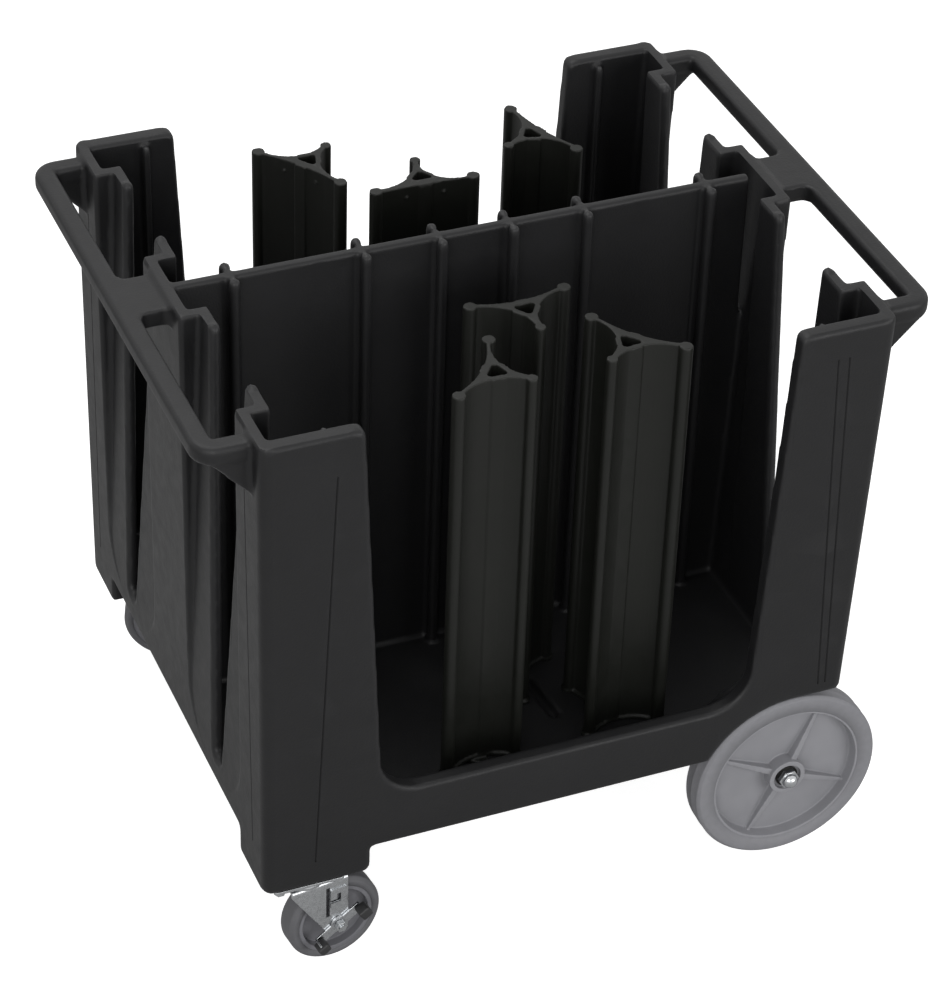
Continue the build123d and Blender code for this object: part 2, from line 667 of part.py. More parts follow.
def wheel_bush():
    """Plain bearing pressed into the near wheel's hub, from its recess to its inner end."""
    outer = WHEEL_HUB_RECESS - WHEEL_HUB_LENGTH / 2
    inner = WHEEL_HUB_LENGTH / 2
    points = [(AXLE_RADIUS + FIT, outer), (BUSH_RADIUS, outer),
              (BUSH_RADIUS, inner), (AXLE_RADIUS + FIT, inner)]
    return Pos(0, -WHEEL_MID_Y, 0) * ring_about_y(points, WHEEL_X, AXLE_Z)


def cheek_bush():
    """Flanged bush pressed into the near cheek from the inside."""
    outer = -WELL_INNER_Y
    inner = outer + CHEEK_THICK
    flange = BUSH_RADIUS + BUSH_FLANGE
    points = [(AXLE_RADIUS, outer), (BUSH_RADIUS, outer), (BUSH_RADIUS, inner),
              (flange, inner), (flange, inner + BUSH_FLANGE_THICK),
              (AXLE_RADIUS, inner + BUSH_FLANGE_THICK)]
    return ring_about_y(points, WHEEL_X, AXLE_Z)


def axle_spacer():
    """Tube on the axle between the cheek and the wheel's hub."""
    points = [(AXLE_RADIUS, -HUB_INNER_Y + FACE_GAP),
              (WASHER_RADIUS, -HUB_INNER_Y + FACE_GAP),
              (WASHER_RADIUS, -WELL_INNER_Y), (AXLE_RADIUS, -WELL_INNER_Y)]
    return ring_about_y(points, WHEEL_X, AXLE_Z)


def axle_washer():
    points = [(AXLE_RADIUS, -NUT_SEAT_Y), (WASHER_RADIUS, -NUT_SEAT_Y),
              (WASHER_RADIUS, WASHER_THICK - NUT_SEAT_Y),
              (AXLE_RADIUS, WASHER_THICK - NUT_SEAT_Y)]
    return ring_about_y(points, WHEEL_X, AXLE_Z)


def rear_axle():
    return rod_along_y(AXLE_RADIUS, WHEEL_X, AXLE_Z, -AXLE_TIP_Y, AXLE_TIP_Y)


def acorn_nut():
    """Hexagon with a domed cap, closed over the axle's end."""
    hexagon = extrude(RegularPolygon(NUT_FLATS / 2, 6, major_radius=False),
                      amount=NUT_HEX)
    cap = Pos(0, 0, NUT_HEX) * (Sphere(NUT_DOME) & block(-OUT, OUT, -OUT, OUT, 0, OUT))
    bore = rod_up(AXLE_RADIUS, 0, 0, -1, AXLE_TIP_Y - NUT_SEAT_Y)
    nut = hexagon + cap - bore
    return Pos(WHEEL_X, -NUT_SEAT_Y, AXLE_Z) * Rot(90, 0, 0) * nut


# ---- swivel casters --------------------------------------------------------
# Each caster is drawn with its swivel axis on the Z axis and its wheel behind
# it along +X, the wheel's outer face towards -Y.
def caster_plate():
    plate = extrude(RectangleRounded(PLATE_LENGTH, PLATE_WIDTH, PLATE_CORNER),
                    amount=PLATE_THICK)
    plate = Pos(0, 0, PLATE_BOTTOM) * plate
    for x, y in bolt_places():
        plate -= rod_up(BOLT_RADIUS + FIT, x, y, 0, OUT)
    return plate - rod_up(KINGPIN_RADIUS, 0, 0, 0, OUT)


def plate_bolts():
    """Four hexagon bolts up through the plate into the foot."""
    bolts = []
    for x, y in bolt_places():
        shank = rod_up(BOLT_RADIUS, x, y, PLATE_BOTTOM - 1, FOOT_BOTTOM + BOLT_REACH - 1)
        head = extrude(RegularPolygon(BOLT_HEAD_FLATS / 2, 6, major_radius=False),
                       amount=BOLT_HEAD)
        bolts.append(shank + Pos(x, y, PLATE_BOTTOM - BOLT_HEAD) * head)
    return bolts


def swivel_race():
    """Ball race between the plate and the fork, carried by the fork."""
    points = [(KINGPIN_RADIUS + 1, 0), (RACE_RADIUS, 0),
              (RACE_RADIUS, RACE_THICK - RACE_EDGE),
              (RACE_RADIUS - RACE_EDGE, RACE_THICK), (KINGPIN_RADIUS + 1, RACE_THICK)]
    face = make_face(Polyline(*[(r, 0, z) for r, z in points], close=True))
    return Pos(0, 0, CROWN_TOP) * revolve(face, axis=Axis.Z)


def kingpin():
    """Rivet through the plate, the race and the fork's crown."""
    head_top = CROWN_BOTTOM - FACE_GAP
    shank = rod_up(KINGPIN_RADIUS, 0, 0, head_top - 1, FOOT_BOTTOM)
    head = rod_up(KINGPIN_HEAD_RADIUS, 0, 0, head_top - KINGPIN_HEAD, head_top)
    lower = head.edges().filter_by(GeomType.CIRCLE).sort_by(Axis.Z)[0]
    return shank + fillet(lower, KINGPIN_HEAD / 2)


def fork():
    """Pressed fork: a crown and two legs that rake back to the wheel's axle."""
    axle = (CASTER_TRAIL, CASTER_RADIUS)
    side = outline(
        [(-FORK_BACK, CROWN_TOP), (-FORK_BACK, CROWN_TOP - 2.5 * FORK_SHEET),
         (axle[0] - FORK_NOSE, axle[1] - FORK_NOSE),
         (axle[0] + FORK_NOSE, axle[1] - FORK_NOSE),
         (axle[0] + FORK_FRONT, CROWN_TOP)],
        [0, 2.0, FORK_NOSE * 0.8, FORK_NOSE * 0.8, 0])
    solid = slab_along_y(side, -FORK_HALF, FORK_HALF)
    bends = [edge for edge in solid.edges().filter_by(Axis.X)
             if edge.center().Z > CROWN_TOP - 1]
    solid = fillet(bends, FORK_BEND)
    solid -= block(-OUT, OUT, -FORK_GAP / 2, FORK_GAP / 2, -OUT, CROWN_BOTTOM)
    solid -= rod_up(KINGPIN_RADIUS + FIT, 0, 0, 0, OUT)
    return solid - rod_along_y(CASTER_BOLT_RADIUS, *axle, -OUT, OUT)


def caster_core():
    """Moulded wheel centre with a thin web and a bored hub."""
    rim = CASTER_RADIUS - CASTER_TREAD
    half = CASTER_WIDTH / 2 - 1
    hub = CASTER_HUB_LENGTH / 2
    web = CASTER_WEB / 2
    bore = SLEEVE_RADIUS + FIT
    inside = rim - CASTER_RIM
    points = [(bore, -hub), (CASTER_HUB_RADIUS, -hub), (CASTER_HUB_RADIUS, -web),
              (inside, -web), (inside + 1, -half), (rim, -half),
              (rim, half), (inside + 1, half), (inside, web), (CASTER_HUB_RADIUS, web),
              (CASTER_HUB_RADIUS, hub), (bore, hub)]
    return ring_about_y(points, CASTER_TRAIL, CASTER_RADIUS)


def caster_tread():
    half = CASTER_WIDTH / 2
    inner = CASTER_RADIUS - CASTER_TREAD
    step = CASTER_SHOULDER
    points = [(inner, -half), (CASTER_RADIUS - step, -half),
              (CASTER_RADIUS, step - half), (CASTER_RADIUS, half - step),
              (CASTER_RADIUS - step, half), (inner, half)]
    return ring_about_y(points, CASTER_TRAIL, CASTER_RADIUS)


def caster_sleeve():
    """Steel sleeve clamped between the fork's legs, on which the hub turns."""
    half = FORK_GAP / 2
    points = [(CASTER_BOLT_RADIUS, -half), (SLEEVE_RADIUS, -half),
              (SLEEVE_RADIUS, half), (CASTER_BOLT_RADIUS, half)]
    return ring_about_y(points, CASTER_TRAIL, CASTER_RADIUS)


def caster_axle(seat):
    """Axle bolt, its head on the far leg; seat is where the nut bears."""
    shank = rod_along_y(CASTER_BOLT_RADIUS, 0, 0, -seat - LOCK_NUT_THICK - 2, FORK_HALF)
    head = extrude(RegularPolygon(LOCK_NUT_FLATS / 2, 6, major_radius=False),
                   amount=-BOLT_HEAD)
    bolt = shank + Pos(0, FORK_HALF, 0) * Rot(90, 0, 0) * head
    return Pos(CASTER_TRAIL, 0, CASTER_RADIUS) * bolt


def caster_nut(seat):
    hexagon = extrude(RegularPolygon(LOCK_NUT_FLATS / 2, 6, major_radius=False),
                      amount=LOCK_NUT_THICK)
    nut = hexagon - Cylinder(CASTER_BOLT_RADIUS, 4 * LOCK_NUT_THICK)
    return Pos(CASTER_TRAIL, -seat, CASTER_RADIUS) * Rot(90, 0, 0) * nut


def brake_frame(shape):
    """Stand a brake piece, drawn flat about the axle, against the outer fork leg."""
    turned = Rot(90, 0, 0) * Rot(0, 0, BRAKE_TILT) * shape
    return Pos(CASTER_TRAIL, -FORK_HALF - FACE_GAP, CASTER_RADIUS) * turned


def brake_lever():
    """Rocker about the axle bolt with a tread tab bent outwards at each end."""
    bar = Rectangle(2 * BRAKE_ARM, BRAKE_ARM_WIDTH) + Circle(BRAKE_EYE)
    bar = extrude(bar, amount=BRAKE_SHEET)
    tabs = [block(end - BRAKE_SHEET / 2, end + BRAKE_SHEET / 2, -BRAKE_ARM_WIDTH / 2,
                  BRAKE_ARM_WIDTH / 2, 0, BRAKE_TAB)
            for end in (BRAKE_SHEET / 2 - BRAKE_ARM, BRAKE_ARM - BRAKE_SHEET / 2)]
    bore = Cylinder(CASTER_BOLT_RADIUS + FIT, 4 * BRAKE_SHEET)
    return brake_frame(fuse([bar] + tabs) - bore)


def brake_pads():
    """Two rubber boots pushed over the lever's tabs."""
    pads = []
    for end in (-1, 1):
        middle = end * (BRAKE_ARM - BRAKE_SHEET / 2)
        thick = BRAKE_SHEET / 2 + BRAKE_PAD_WALL
        wide = BRAKE_ARM_WIDTH / 2 + BRAKE_PAD_WALL
        top = BRAKE_TAB + BRAKE_PAD_WALL
        boot = block(middle - thick, middle + thick, -wide, wide,
                     top - BRAKE_PAD_LENGTH, top)
        room = block(middle - BRAKE_SHEET / 2, middle + BRAKE_SHEET / 2,
                     -BRAKE_ARM_WIDTH / 2, BRAKE_ARM_WIDTH / 2, 0, BRAKE_TAB)
        pads.append(brake_frame(boot - room))
    return pads


def brake_bracket():
    """Strip on the outer fork leg over the lever, with a hooked slot in from its edge."""
    strip = outline([(-BRACKET_WIDTH / 2, BRACKET_FOOT), (BRACKET_WIDTH / 2, BRACKET_FOOT),
                     (BRACKET_WIDTH / 2, BRACKET_HEAD), (-BRACKET_WIDTH / 2, BRACKET_HEAD)],
                    BRACKET_CORNER)
    edge = -BRACKET_WIDTH / 2
    tip = edge + HOOK_REACH
    hook = outline([(edge - 1, HOOK_FOOT), (tip, HOOK_FOOT), (tip, HOOK_HEAD),
                    (tip - HOOK_WIDTH, HOOK_HEAD), (tip - HOOK_WIDTH, HOOK_FOOT + HOOK_WIDTH),
                    (edge - 1, HOOK_FOOT + HOOK_WIDTH)])
    plate = slab_along_y(strip - hook, -BRACKET_SHEET, 0)
    return Pos(CASTER_TRAIL, -FORK_HALF, CASTER_RADIUS) * plate


# ---- assembly --------------------------------------------------------------
def save(name, shape):
    """Write one sub-part; a list of solids goes into one file."""
    if isinstance(shape, (list, tuple)):
        solids = [solid for piece in shape for solid in piece.solids()]
        shape = Compound(children=solids)
    export_step(shape, f"parts/{name}.step")


def save_both_sides(name, shape):
    save(f"{name}_near", shape)
    save(f"{name}_far", flip_y(shape))


def save_caster(side, heading, y, braked):
    """Write one caster, turned to its heading under its foot."""
    seat = FORK_HALF
    if braked:
        seat += 2 * FACE_GAP + BRAKE_SHEET
    plate_place = Pos(CASTER_X, y, 0)
    place = plate_place * Rot(0, 0, heading)
    save(f"caster_plate_{side}", plate_place * caster_plate())
    save(f"caster_bolts_{side}", [plate_place * bolt for bolt in plate_bolts()])
    save(f"caster_kingpin_{side}", plate_place * kingpin())
    save(f"caster_race_{side}", place * swivel_race())
    save(f"caster_fork_{side}", place * fork())
    save(f"caster_core_{side}", place * caster_core())
    save(f"caster_tread_{side}", place * caster_tread())
    save(f"caster_sleeve_{side}", place * caster_sleeve())
    save(f"caster_axle_{side}", place * caster_axle(seat))
    save(f"caster_nut_{side}", place * caster_nut(seat))
    if braked:
        save("brake_lever", place * brake_lever())
        save("brake_pads", [place * pad for pad in brake_pads()])
        save("brake_bracket", place * brake_bracket())


os.makedirs("parts", exist_ok=True)
save("cart_body", cart_body())
for number, tower in enumerate(TOWERS, start=1):
    save(f"divider_tower_{number}", divider_tower(tower))
save("rear_axle", rear_axle())
save_both_sides("rear_tyre", rear_tyre())
save_both_sides("rear_wheel", rear_wheel())
save_both_sides("wheel_bush", wheel_bush())
save_both_sides("axle_bush", cheek_bush())
save_both_sides("axle_spacer", axle_spacer())
save_both_sides("axle_washer", axle_washer())
save_both_sides("acorn_nut", acorn_nut())
save_caster("near", CASTER_YAW_NEAR, -CASTER_Y, braked=True)
save_caster("far", CASTER_YAW_FAR, CASTER_Y, braked=False)
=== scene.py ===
"""Looks for the plate dispenser cart: finishes, round mould edges, turned tyres, a plain studio."""
import json
import math

import bmesh
import bpy
from mathutils import Matrix, Vector
from mathutils.bvhtree import BVHTree

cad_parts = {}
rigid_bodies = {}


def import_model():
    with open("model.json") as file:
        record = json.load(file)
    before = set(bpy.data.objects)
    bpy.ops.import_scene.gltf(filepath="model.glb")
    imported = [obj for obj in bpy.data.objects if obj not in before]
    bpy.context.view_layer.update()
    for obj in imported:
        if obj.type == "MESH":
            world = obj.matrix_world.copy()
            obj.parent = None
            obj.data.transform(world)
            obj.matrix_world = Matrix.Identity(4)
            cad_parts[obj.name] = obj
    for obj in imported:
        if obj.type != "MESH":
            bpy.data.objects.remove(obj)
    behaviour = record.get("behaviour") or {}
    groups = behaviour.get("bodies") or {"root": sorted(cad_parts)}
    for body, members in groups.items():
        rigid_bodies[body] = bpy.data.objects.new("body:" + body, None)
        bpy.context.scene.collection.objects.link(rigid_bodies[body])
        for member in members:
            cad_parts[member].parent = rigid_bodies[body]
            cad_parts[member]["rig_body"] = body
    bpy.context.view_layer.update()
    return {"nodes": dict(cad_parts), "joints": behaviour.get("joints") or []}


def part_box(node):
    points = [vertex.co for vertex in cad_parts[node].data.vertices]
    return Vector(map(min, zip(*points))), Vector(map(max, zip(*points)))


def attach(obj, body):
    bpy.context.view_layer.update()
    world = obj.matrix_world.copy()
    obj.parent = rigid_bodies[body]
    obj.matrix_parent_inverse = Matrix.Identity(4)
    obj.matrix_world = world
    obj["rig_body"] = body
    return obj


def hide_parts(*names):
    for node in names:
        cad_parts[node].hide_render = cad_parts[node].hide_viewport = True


bl_info = {
    "name": "Plate dispenser cart",
    "version": (1, 0, 0),
    "blender": (4, 5, 0),
    "location": "View3D > Sidebar > Cart",
    "description": "Dresses the plate dispenser cart and sets it in a plain studio",
    "category": "Object",
}

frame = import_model()

MM = 0.001
SIDES = ("near", "far")

# ---- sizes, in mm unless they say otherwise ---------------------------------
# Split edges in the imported solids lie closer together than this, in metres.
WELD_WITHIN = 2e-6
# A net vertex this near its solid lies on it, and one this far belongs to a round corner.
SETTLE_NEAR = 0.25 * MM
SETTLE_FAR = 0.9 * MM
# Straight runs in a rounded corner, and in a circle for a hub. A profile corner whose sides
# run on straight to within this many radians isn't rounded.
ARC_STEPS = 5
CIRCLE_STEPS = 64
NEARLY_STRAIGHT = 0.01
# Edges sharper than these stay crisp after a cut, or are broken on hardware.
CRISP_ANGLE = math.radians(35)
BROKEN_ANGLE = math.radians(40)
# How strongly large flat faces lead the shading at the corners beside them.
FLAT_LEAD = 100

# Most triangles of the body's skin; each divider's times relaxed and most triangles; and
# for the smaller covered pieces the net's cell, times relaxed and most triangles.
BODY_TRIANGLES = 190000
DIVIDER_ROUNDING = (4, 40000)
WHEEL_DISC_ROUNDING = (1.1, 3, 60000)
ACORN_NUT_ROUNDING = (0.35, 3, 24000)
CASTER_CORE_ROUNDING = (0.8, 4, 30000)
CASTER_FORK_ROUNDING = (0.7, 4, 40000)
BRAKE_LEVER_ROUNDING = (0.45, 3, 30000)
# Radius left on the broken edges of small hardware, and on those of the thicker steel.
EDGE_FINE = 0.4
EDGE_STEEL = 0.5

# Outer faces of the body, and the web under each push rail: how far out the rail starts and
# its middle lies, half the web's width, its corner radius and how deep its root is.
SIDE_FACE = 356.0
END_FACE = 398.0
RAIL_INSIDE = 436.0
RAIL_MIDDLE = 449.0
RAIL_TOP = 811.0
WEB_BOTTOM = 787.0
WEB_HALF = 40.0
WEB_RADIUS = 10.0
WEB_ROOT = 6.0

# Pressed upright lines as (place and height of the top, then of the foot). They are V
# grooves, and the solids that cut them start a little outside the wall.
LINE_WIDTH = 4.0
LINE_DEPTH = 1.3
LINE_OUTSIDE = 0.6
SIDE_LINES = ((-306.0, 760.0, -332.0, 186.0), (321.0, 775.0, 343.0, 275.0),
              (336.0, 775.0, 353.0, 275.0))
END_LINE = (299.0, 742.0, 313.0, 205.0)

# Each divider: its place, then the headings in degrees of its two long blades and its
# short one; and how far from its middle the beads and the bands up its faces stand.
DIVIDERS = ((-114, 276, 141, -71, 39), (7, 188, 190, -13, 79), (184, 245, 93, -55, 204),
            (16, -130, 159, 23, -89), (-70, -243, 209, 74, -37), (105, -238, 110, -29, 218))
DIVIDER_FOOT = 205.0
DIVIDER_TOP = 777.0
BEAD_PLACES = (66.5, 66.5, 45.0)
BEAD_RADII = (8.5, 8.5, 7.0)
BEAD_CORNERS = 24
BAND_PLACE = 15.5
BAND_WIDTH = 16.0
BAND_RISE = 2.0

# Large wheels: hub ring, the recess in its face, the bore, and the ribs between hub and rim
# with (distance from the axle, width, height) at both ends. The first rib is 25 degrees round.
HUB_RADIUS = 25.0
HUB_REACH = 22.0
RECESS_RADIUS = HUB_RADIUS - 6
RECESS_FLOOR = 16.8
BORE_RADIUS = 11.0
PAST_HUB = 24.0
RIB_COUNT = 4
RIB_FIRST = 25
RIB_ENDS = ((20, 9, 16.5), (99, 4.5, 8))

# Large tyre: depth from the tread, shoulder down from the tread and in from the side, the
# shoulder's radius, and the fine mould line round its middle.
TYRE_DEPTH = 24
TYRE_SHOULDER_DOWN = 4.5
TYRE_SHOULDER_IN = 3.5
TYRE_ROUND = 3
MOULD_LINE_HEIGHT = 0.4
MOULD_LINE_HALF = 0.6
TYRE_STEPS = 160

# Caster tread: half its width, its depth, its shoulder, and the radii at side and crown.
TREAD_HALF = 16
TREAD_DEPTH = 12.5
TREAD_SHOULDER = 5
TREAD_ROUND_SIDE = 2.5
TREAD_ROUND_CROWN = 4
TREAD_STEPS = 112

# Braked caster at rest: heading of its wheel, and the gaps through the fork's outer leg as
# left, right, low and high from the wheel's middle; where the cut starts and how deep it is.
CASTER_HEADING = math.radians(7.0)
BRACKET_GAPS = ((-17.5, -12.5, 16.0, 64.0), (-12.0, 2.0, 38.5, 51.5))
LEG_OUTSIDE = 24.5
LEG_CUT = 6.0

# Rubber blocks on the brake lever, and the lever's tilt at rest. The lower block is worn
# down, so that the steel shows along its edges.
LEVER_TILT = math.radians(33.0)
PAD_REACH = 34.0
PAD_LENGTH = 15.0
PAD_THICK = 15.2
PAD_WORN = 12.0
PAD_DEPTH = 16.0
PAD_ROUND = 2.2

# ---- finishes and studio ----------------------------------------------------
# A pebbled skin traps part of its gloss, so it mirrors about half as much as a polished one.
PEBBLED_SPECULAR = 0.25
# Sizes in mm of the soft blotches in a moulding's colour and in its gloss, of the dust on
# rubber and of the fine scratches in metal.
BLOTCH_MM = 55.0
GLOSS_MM = 22.0
DUST_MM = 9.0
SCRATCH_MM = 0.8
# How pointed an edge of a moulding is where its painted highlight and rubbed wear begin, and where
# they are palest.
HIGHLIGHT_AND_WEAR_FROM = 0.51
HIGHLIGHT_AND_WEAR_FULL = 0.58
# Soft lamps: name, place, the point they face and their size in metres, share of key power.
LAMPS = (("key_softbox", (-2.2, -3.4, 2.2), (0, 0, 0.5), (2.4, 2.4), 1.0),
         ("front_softbox", (2.0, -3.6, 1.6), (0, 0, 0.4), (2.6, 1.8), 0.85),
         ("top_softbox", (-0.4, 0.8, 3.4), (0, 0, 0.4), (2.2, 2.2), 0.6))
# Half the floor's width and how far it lies under the wheels, in metres; its glow for the eye.
FLOOR_HALF = 30
FLOOR_DROP = 0.0005
FLOOR_GLOW = 0.85
# Sensor width that the lens counts on.
SENSOR_WIDTH = 36


# ---- colour and shader helpers ---------------------------------------------
def from_hex(text):
    """Linear RGBA of an sRGB hex colour."""
    parts = [int(text[i:i + 2], 16) / 255 for i in (1, 3, 5)]
    return [p / 12.92 if p <= 0.04045 else ((p + 0.055) / 1.055) ** 2.4 for p in parts] + [1.0]


def add(tree, kind, inputs=None, **settings):
    """Add a shader node with its settings; inputs may be values or sockets to link."""
    made = tree.nodes.new("ShaderNode" + kind)
    for name, value in settings.items():
        setattr(made, name, value)
    for name, value in (inputs or {}).items():
        socket = made.inputs[name]
        if isinstance(value, bpy.types.NodeSocket):
            tree.links.new(value, socket)
        else:
            socket.default_value = value
    return made


def start_material(name):
    """A new material, its emptied tree and the object coordinates in metres."""
    material = bpy.data.materials.new(name)
    material.use_nodes = True
    tree = material.node_tree
    tree.nodes.clear()
    place = add(tree, "TexCoord").outputs["Object"]
    return material, tree, place


def per_metre(size_mm):
    """Texture scale at which one cell of a pattern is size_mm across."""
    return 1000.0 / size_mm


def tone(tree, place, size_mm, low, high, detail=2.0):
    """Soft blotches of about size_mm, as a factor between low and high."""
    cloud = add(tree, "TexNoise", {"Vector": place, "Scale": per_metre(size_mm),
                                   "Detail": detail, "Roughness": 0.55})
    return add(tree, "MapRange", {"Value": cloud.outputs["Fac"], "From Min": 0.3,
                                  "From Max": 0.7, "To Min": low, "To Max": high}
               ).outputs["Result"]


def shade(tree, base, factor):
    """The base colour made lighter or darker by a factor that varies over the surface."""
    colour = add(tree, "HueSaturation", {"Color": base, "Value": factor})
    return colour.outputs["Color"]


def close_material(tree, shader):
    """Send the finished shader to the material's output."""
    add(tree, "OutputMaterial", {"Surface": shader.outputs["BSDF"]})


def moulded_plastic(name, colour, roughness, pebble_mm, pebble_depth_mm, edge_highlight_and_wear):
    """Polyethylene or polypropylene from the mould: satin, faintly pebbled, paler on its edges with
    a painted highlight and some rubbed wear.
    """
    material, tree, place = start_material(name)
    body = shade(tree, colour, tone(tree, place, BLOTCH_MM, 0.93, 1.07))
    # Outer edges of the moulding are painted a shade paler than its faces: mostly a painted
    # highlight along the edges, partly rubbed wear.
    edge = add(tree, "NewGeometry").outputs["Pointiness"]
    highlight_and_wear = add(tree, "MapRange", {"Value": edge, "From Min": HIGHLIGHT_AND_WEAR_FROM,
                                    "From Max": HIGHLIGHT_AND_WEAR_FULL, "To Min": 0.0,
                                    "To Max": edge_highlight_and_wear}).outputs["Result"]
    pale = [min(1.0, c * 2.2 + 0.03) for c in colour[:3]] + [1.0]
    body = add(tree, "Mix", {"Factor": highlight_and_wear, "A": body, "B": pale}, data_type="RGBA")
    # The pebble stands for a 1 mm mould texture, drawn coarser so that it shows.
    grit = add(tree, "TexVoronoi", {"Vector": place, "Scale": per_metre(pebble_mm)},
               feature="SMOOTH_F1")
    bump = add(tree, "Bump", {"Height": grit.outputs["Distance"], "Strength": 0.5,
                              "Distance": pebble_depth_mm * MM})
    gloss = tone(tree, place, GLOSS_MM, roughness - 0.03, roughness + 0.04, detail=4.0)
    shader = add(tree, "BsdfPrincipled", {"Base Color": body.outputs["Result"],
                                          "Roughness": gloss, "Normal": bump.outputs["Normal"],
                                          "IOR": 1.5, "Specular IOR Level": PEBBLED_SPECULAR})
    close_material(tree, shader)
    return material


def solid_rubber(name, colour, roughness, grain_mm):
    """Moulded rubber: matt, with a fine grain and a little dust in the tone."""
    material, tree, place = start_material(name)
    dusty = shade(tree, colour, tone(tree, place, DUST_MM, 0.95, 1.04, detail=5.0))
    # The grain of real rubber is finer, and is drawn this coarse so that it shows.
    grain = add(tree, "TexNoise", {"Vector": place, "Scale": per_metre(grain_mm), "Detail": 3.0})
    bump = add(tree, "Bump", {"Height": grain.outputs["Fac"], "Strength": 0.3,
                              "Distance": 0.2 * MM})
    shader = add(tree, "BsdfPrincipled", {"Base Color": dusty, "Roughness": roughness,
                                          "Normal": bump.outputs["Normal"], "IOR": 1.52})
    close_material(tree, shader)
    return material


def coated_metal(name, colour, roughness, crystal_mm, stretch=(1, 1, 1)):
    """Plated or sintered metal, or steel darkened as painted shade: small cloudy crystals, drawn
    out where it was turned.
    """
    material, tree, place = start_material(name)
    drawn = add(tree, "Mapping", {"Vector": place, "Scale": stretch}).outputs["Vector"]
    cloud = tone(tree, drawn, crystal_mm, 0.88, 1.10, detail=4.0)
    gloss = tone(tree, drawn, crystal_mm * 0.6, roughness - 0.06, roughness + 0.08, detail=3.0)
    scratch = add(tree, "TexNoise", {"Vector": drawn, "Scale": per_metre(SCRATCH_MM),
                                     "Detail": 2.0})
    bump = add(tree, "Bump", {"Height": scratch.outputs["Fac"], "Strength": 0.06,
                              "Distance": 0.03 * MM})
    shader = add(tree, "BsdfPrincipled", {"Base Color": shade(tree, colour, cloud),
                                          "Metallic": 1.0, "Roughness": gloss,
                                          "Normal": bump.outputs["Normal"]})
    close_material(tree, shader)
    return material


def make_materials():
    """Every finish on the cart, by the name its pieces ask for."""
    finish = bpy.context.scene.cart_finish
    return {
        # Structural-foam polyethylene, through-coloured black: satin with soft highlights.
        "moulded_body": moulded_plastic(
            "polyethylene_moulded_black", list(finish.body) + [1.0],
            roughness=finish.body_roughness, pebble_mm=2.6, pebble_depth_mm=0.35, edge_highlight_and_wear=0.35),
        # The dividers are the same plastic with a slightly warmer cast.
        "tower": moulded_plastic(
            "polyethylene_moulded_divider", list(finish.tower) + [1.0],
            roughness=finish.body_roughness + 0.03, pebble_mm=1.8, pebble_depth_mm=0.18,
            edge_highlight_and_wear=0.30),
        # Injection-moulded polypropylene wheel centres: light grey, a little glossier.
        "wheel_disc": moulded_plastic(
            "polypropylene_moulded_grey", list(finish.disc) + [1.0],
            roughness=0.42, pebble_mm=1.2, pebble_depth_mm=0.06, edge_highlight_and_wear=0.10),
        # Non-marking thermoplastic rubber tyres: matt grey, dust in the tone.
        "wheel_tyre": solid_rubber("rubber_non_marking_grey", list(finish.tyre) + [1.0],
                                   roughness=0.62, grain_mm=0.7),
        # The small wheels have a core and tread of the same kinds, painted a darker grey as the
        # shade of the body above them.
        "caster_core": moulded_plastic(
            "polypropylene_moulded_grey_painted_shade", from_hex("#6C6C70"),
            roughness=0.45, pebble_mm=1.2, pebble_depth_mm=0.06, edge_highlight_and_wear=0.10),
        "caster_tread": solid_rubber("rubber_non_marking_grey_painted_shade", from_hex("#57575A"),
                                     roughness=0.6, grain_mm=0.7),
        # Sintered bronze bearing bushes: dull yellow metal with open pores.
        "bush": coated_metal("bronze_sintered", from_hex("#A8895C"),
                             roughness=0.48, crystal_mm=1.0),
        # Drawn mild steel axle with clear zinc: fine rings round it.
        "axle_steel": coated_metal("steel_turned_zinc", from_hex("#A2A4A7"),
                                   roughness=0.34, crystal_mm=3.0, stretch=(1, 12, 1)),
        # Washer at the bottom of the hub's recess, painted near black as the shade of a deeper
        # recess: a dark ring round the nut.
        "washer_steel": coated_metal("steel_painted_recess_shade", from_hex("#2C2B2A"),
                                     roughness=0.42, crystal_mm=3.0),
        # Pressed steel with bright zinc: cloudy crystals a few millimetres across.
        "zinc_steel": coated_metal("steel_pressed_zinc", from_hex("#B6B8BA"),
                                   roughness=0.26, crystal_mm=5.0),
        # Chromium-plated acorn nut: near mirror.
        "chrome_nut": coated_metal("steel_chromed", from_hex("#BFC1C3"),
                                   roughness=0.12, crystal_mm=6.0),
        # Black rubber pads on the brake lever: matt and nearly black.
        "brake_rubber": solid_rubber("rubber_moulded_black", from_hex("#1E1E1F"),
                                     roughness=0.58, grain_mm=0.9),
    }


# ---- shape helpers ---------------------------------------------------------
def node_body(node):
    """Name of the moving body that a CAD node belongs to."""
    return frame["nodes"][node]["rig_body"]


def dress(piece, material, slot, *nodes):
    """Give a new piece its finish and let it ride with, and stand for, its CAD nodes."""
    piece.data.materials.clear()
    piece.data.materials.append(material)
    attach(piece, node_body(nodes[0]))
    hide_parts(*nodes)
    return piece


def link(name, data):
    """A new object in the scene around a mesh, lamp or camera."""
    piece = bpy.data.objects.new(name, data)
    bpy.context.scene.collection.objects.link(piece)
    return piece


def welded_copy(node):
    """The CAD node's own surface as one closed mesh without the importer's split edges."""
    mesh = bpy.data.meshes.new(node + "_surface")
    form = bmesh.new()
    form.from_mesh(frame["nodes"][node].data)
    bmesh.ops.remove_doubles(form, verts=form.verts, dist=WELD_WITHIN)
    bmesh.ops.recalc_face_normals(form, faces=form.faces)
    # The importer's corner normals belong to the split edges and would spoil the shading.
    for layer in list(form.loops.layers.float_vector):
        form.loops.layers.float_vector.remove(layer)
    form.to_mesh(mesh)
    form.free()
    return mesh


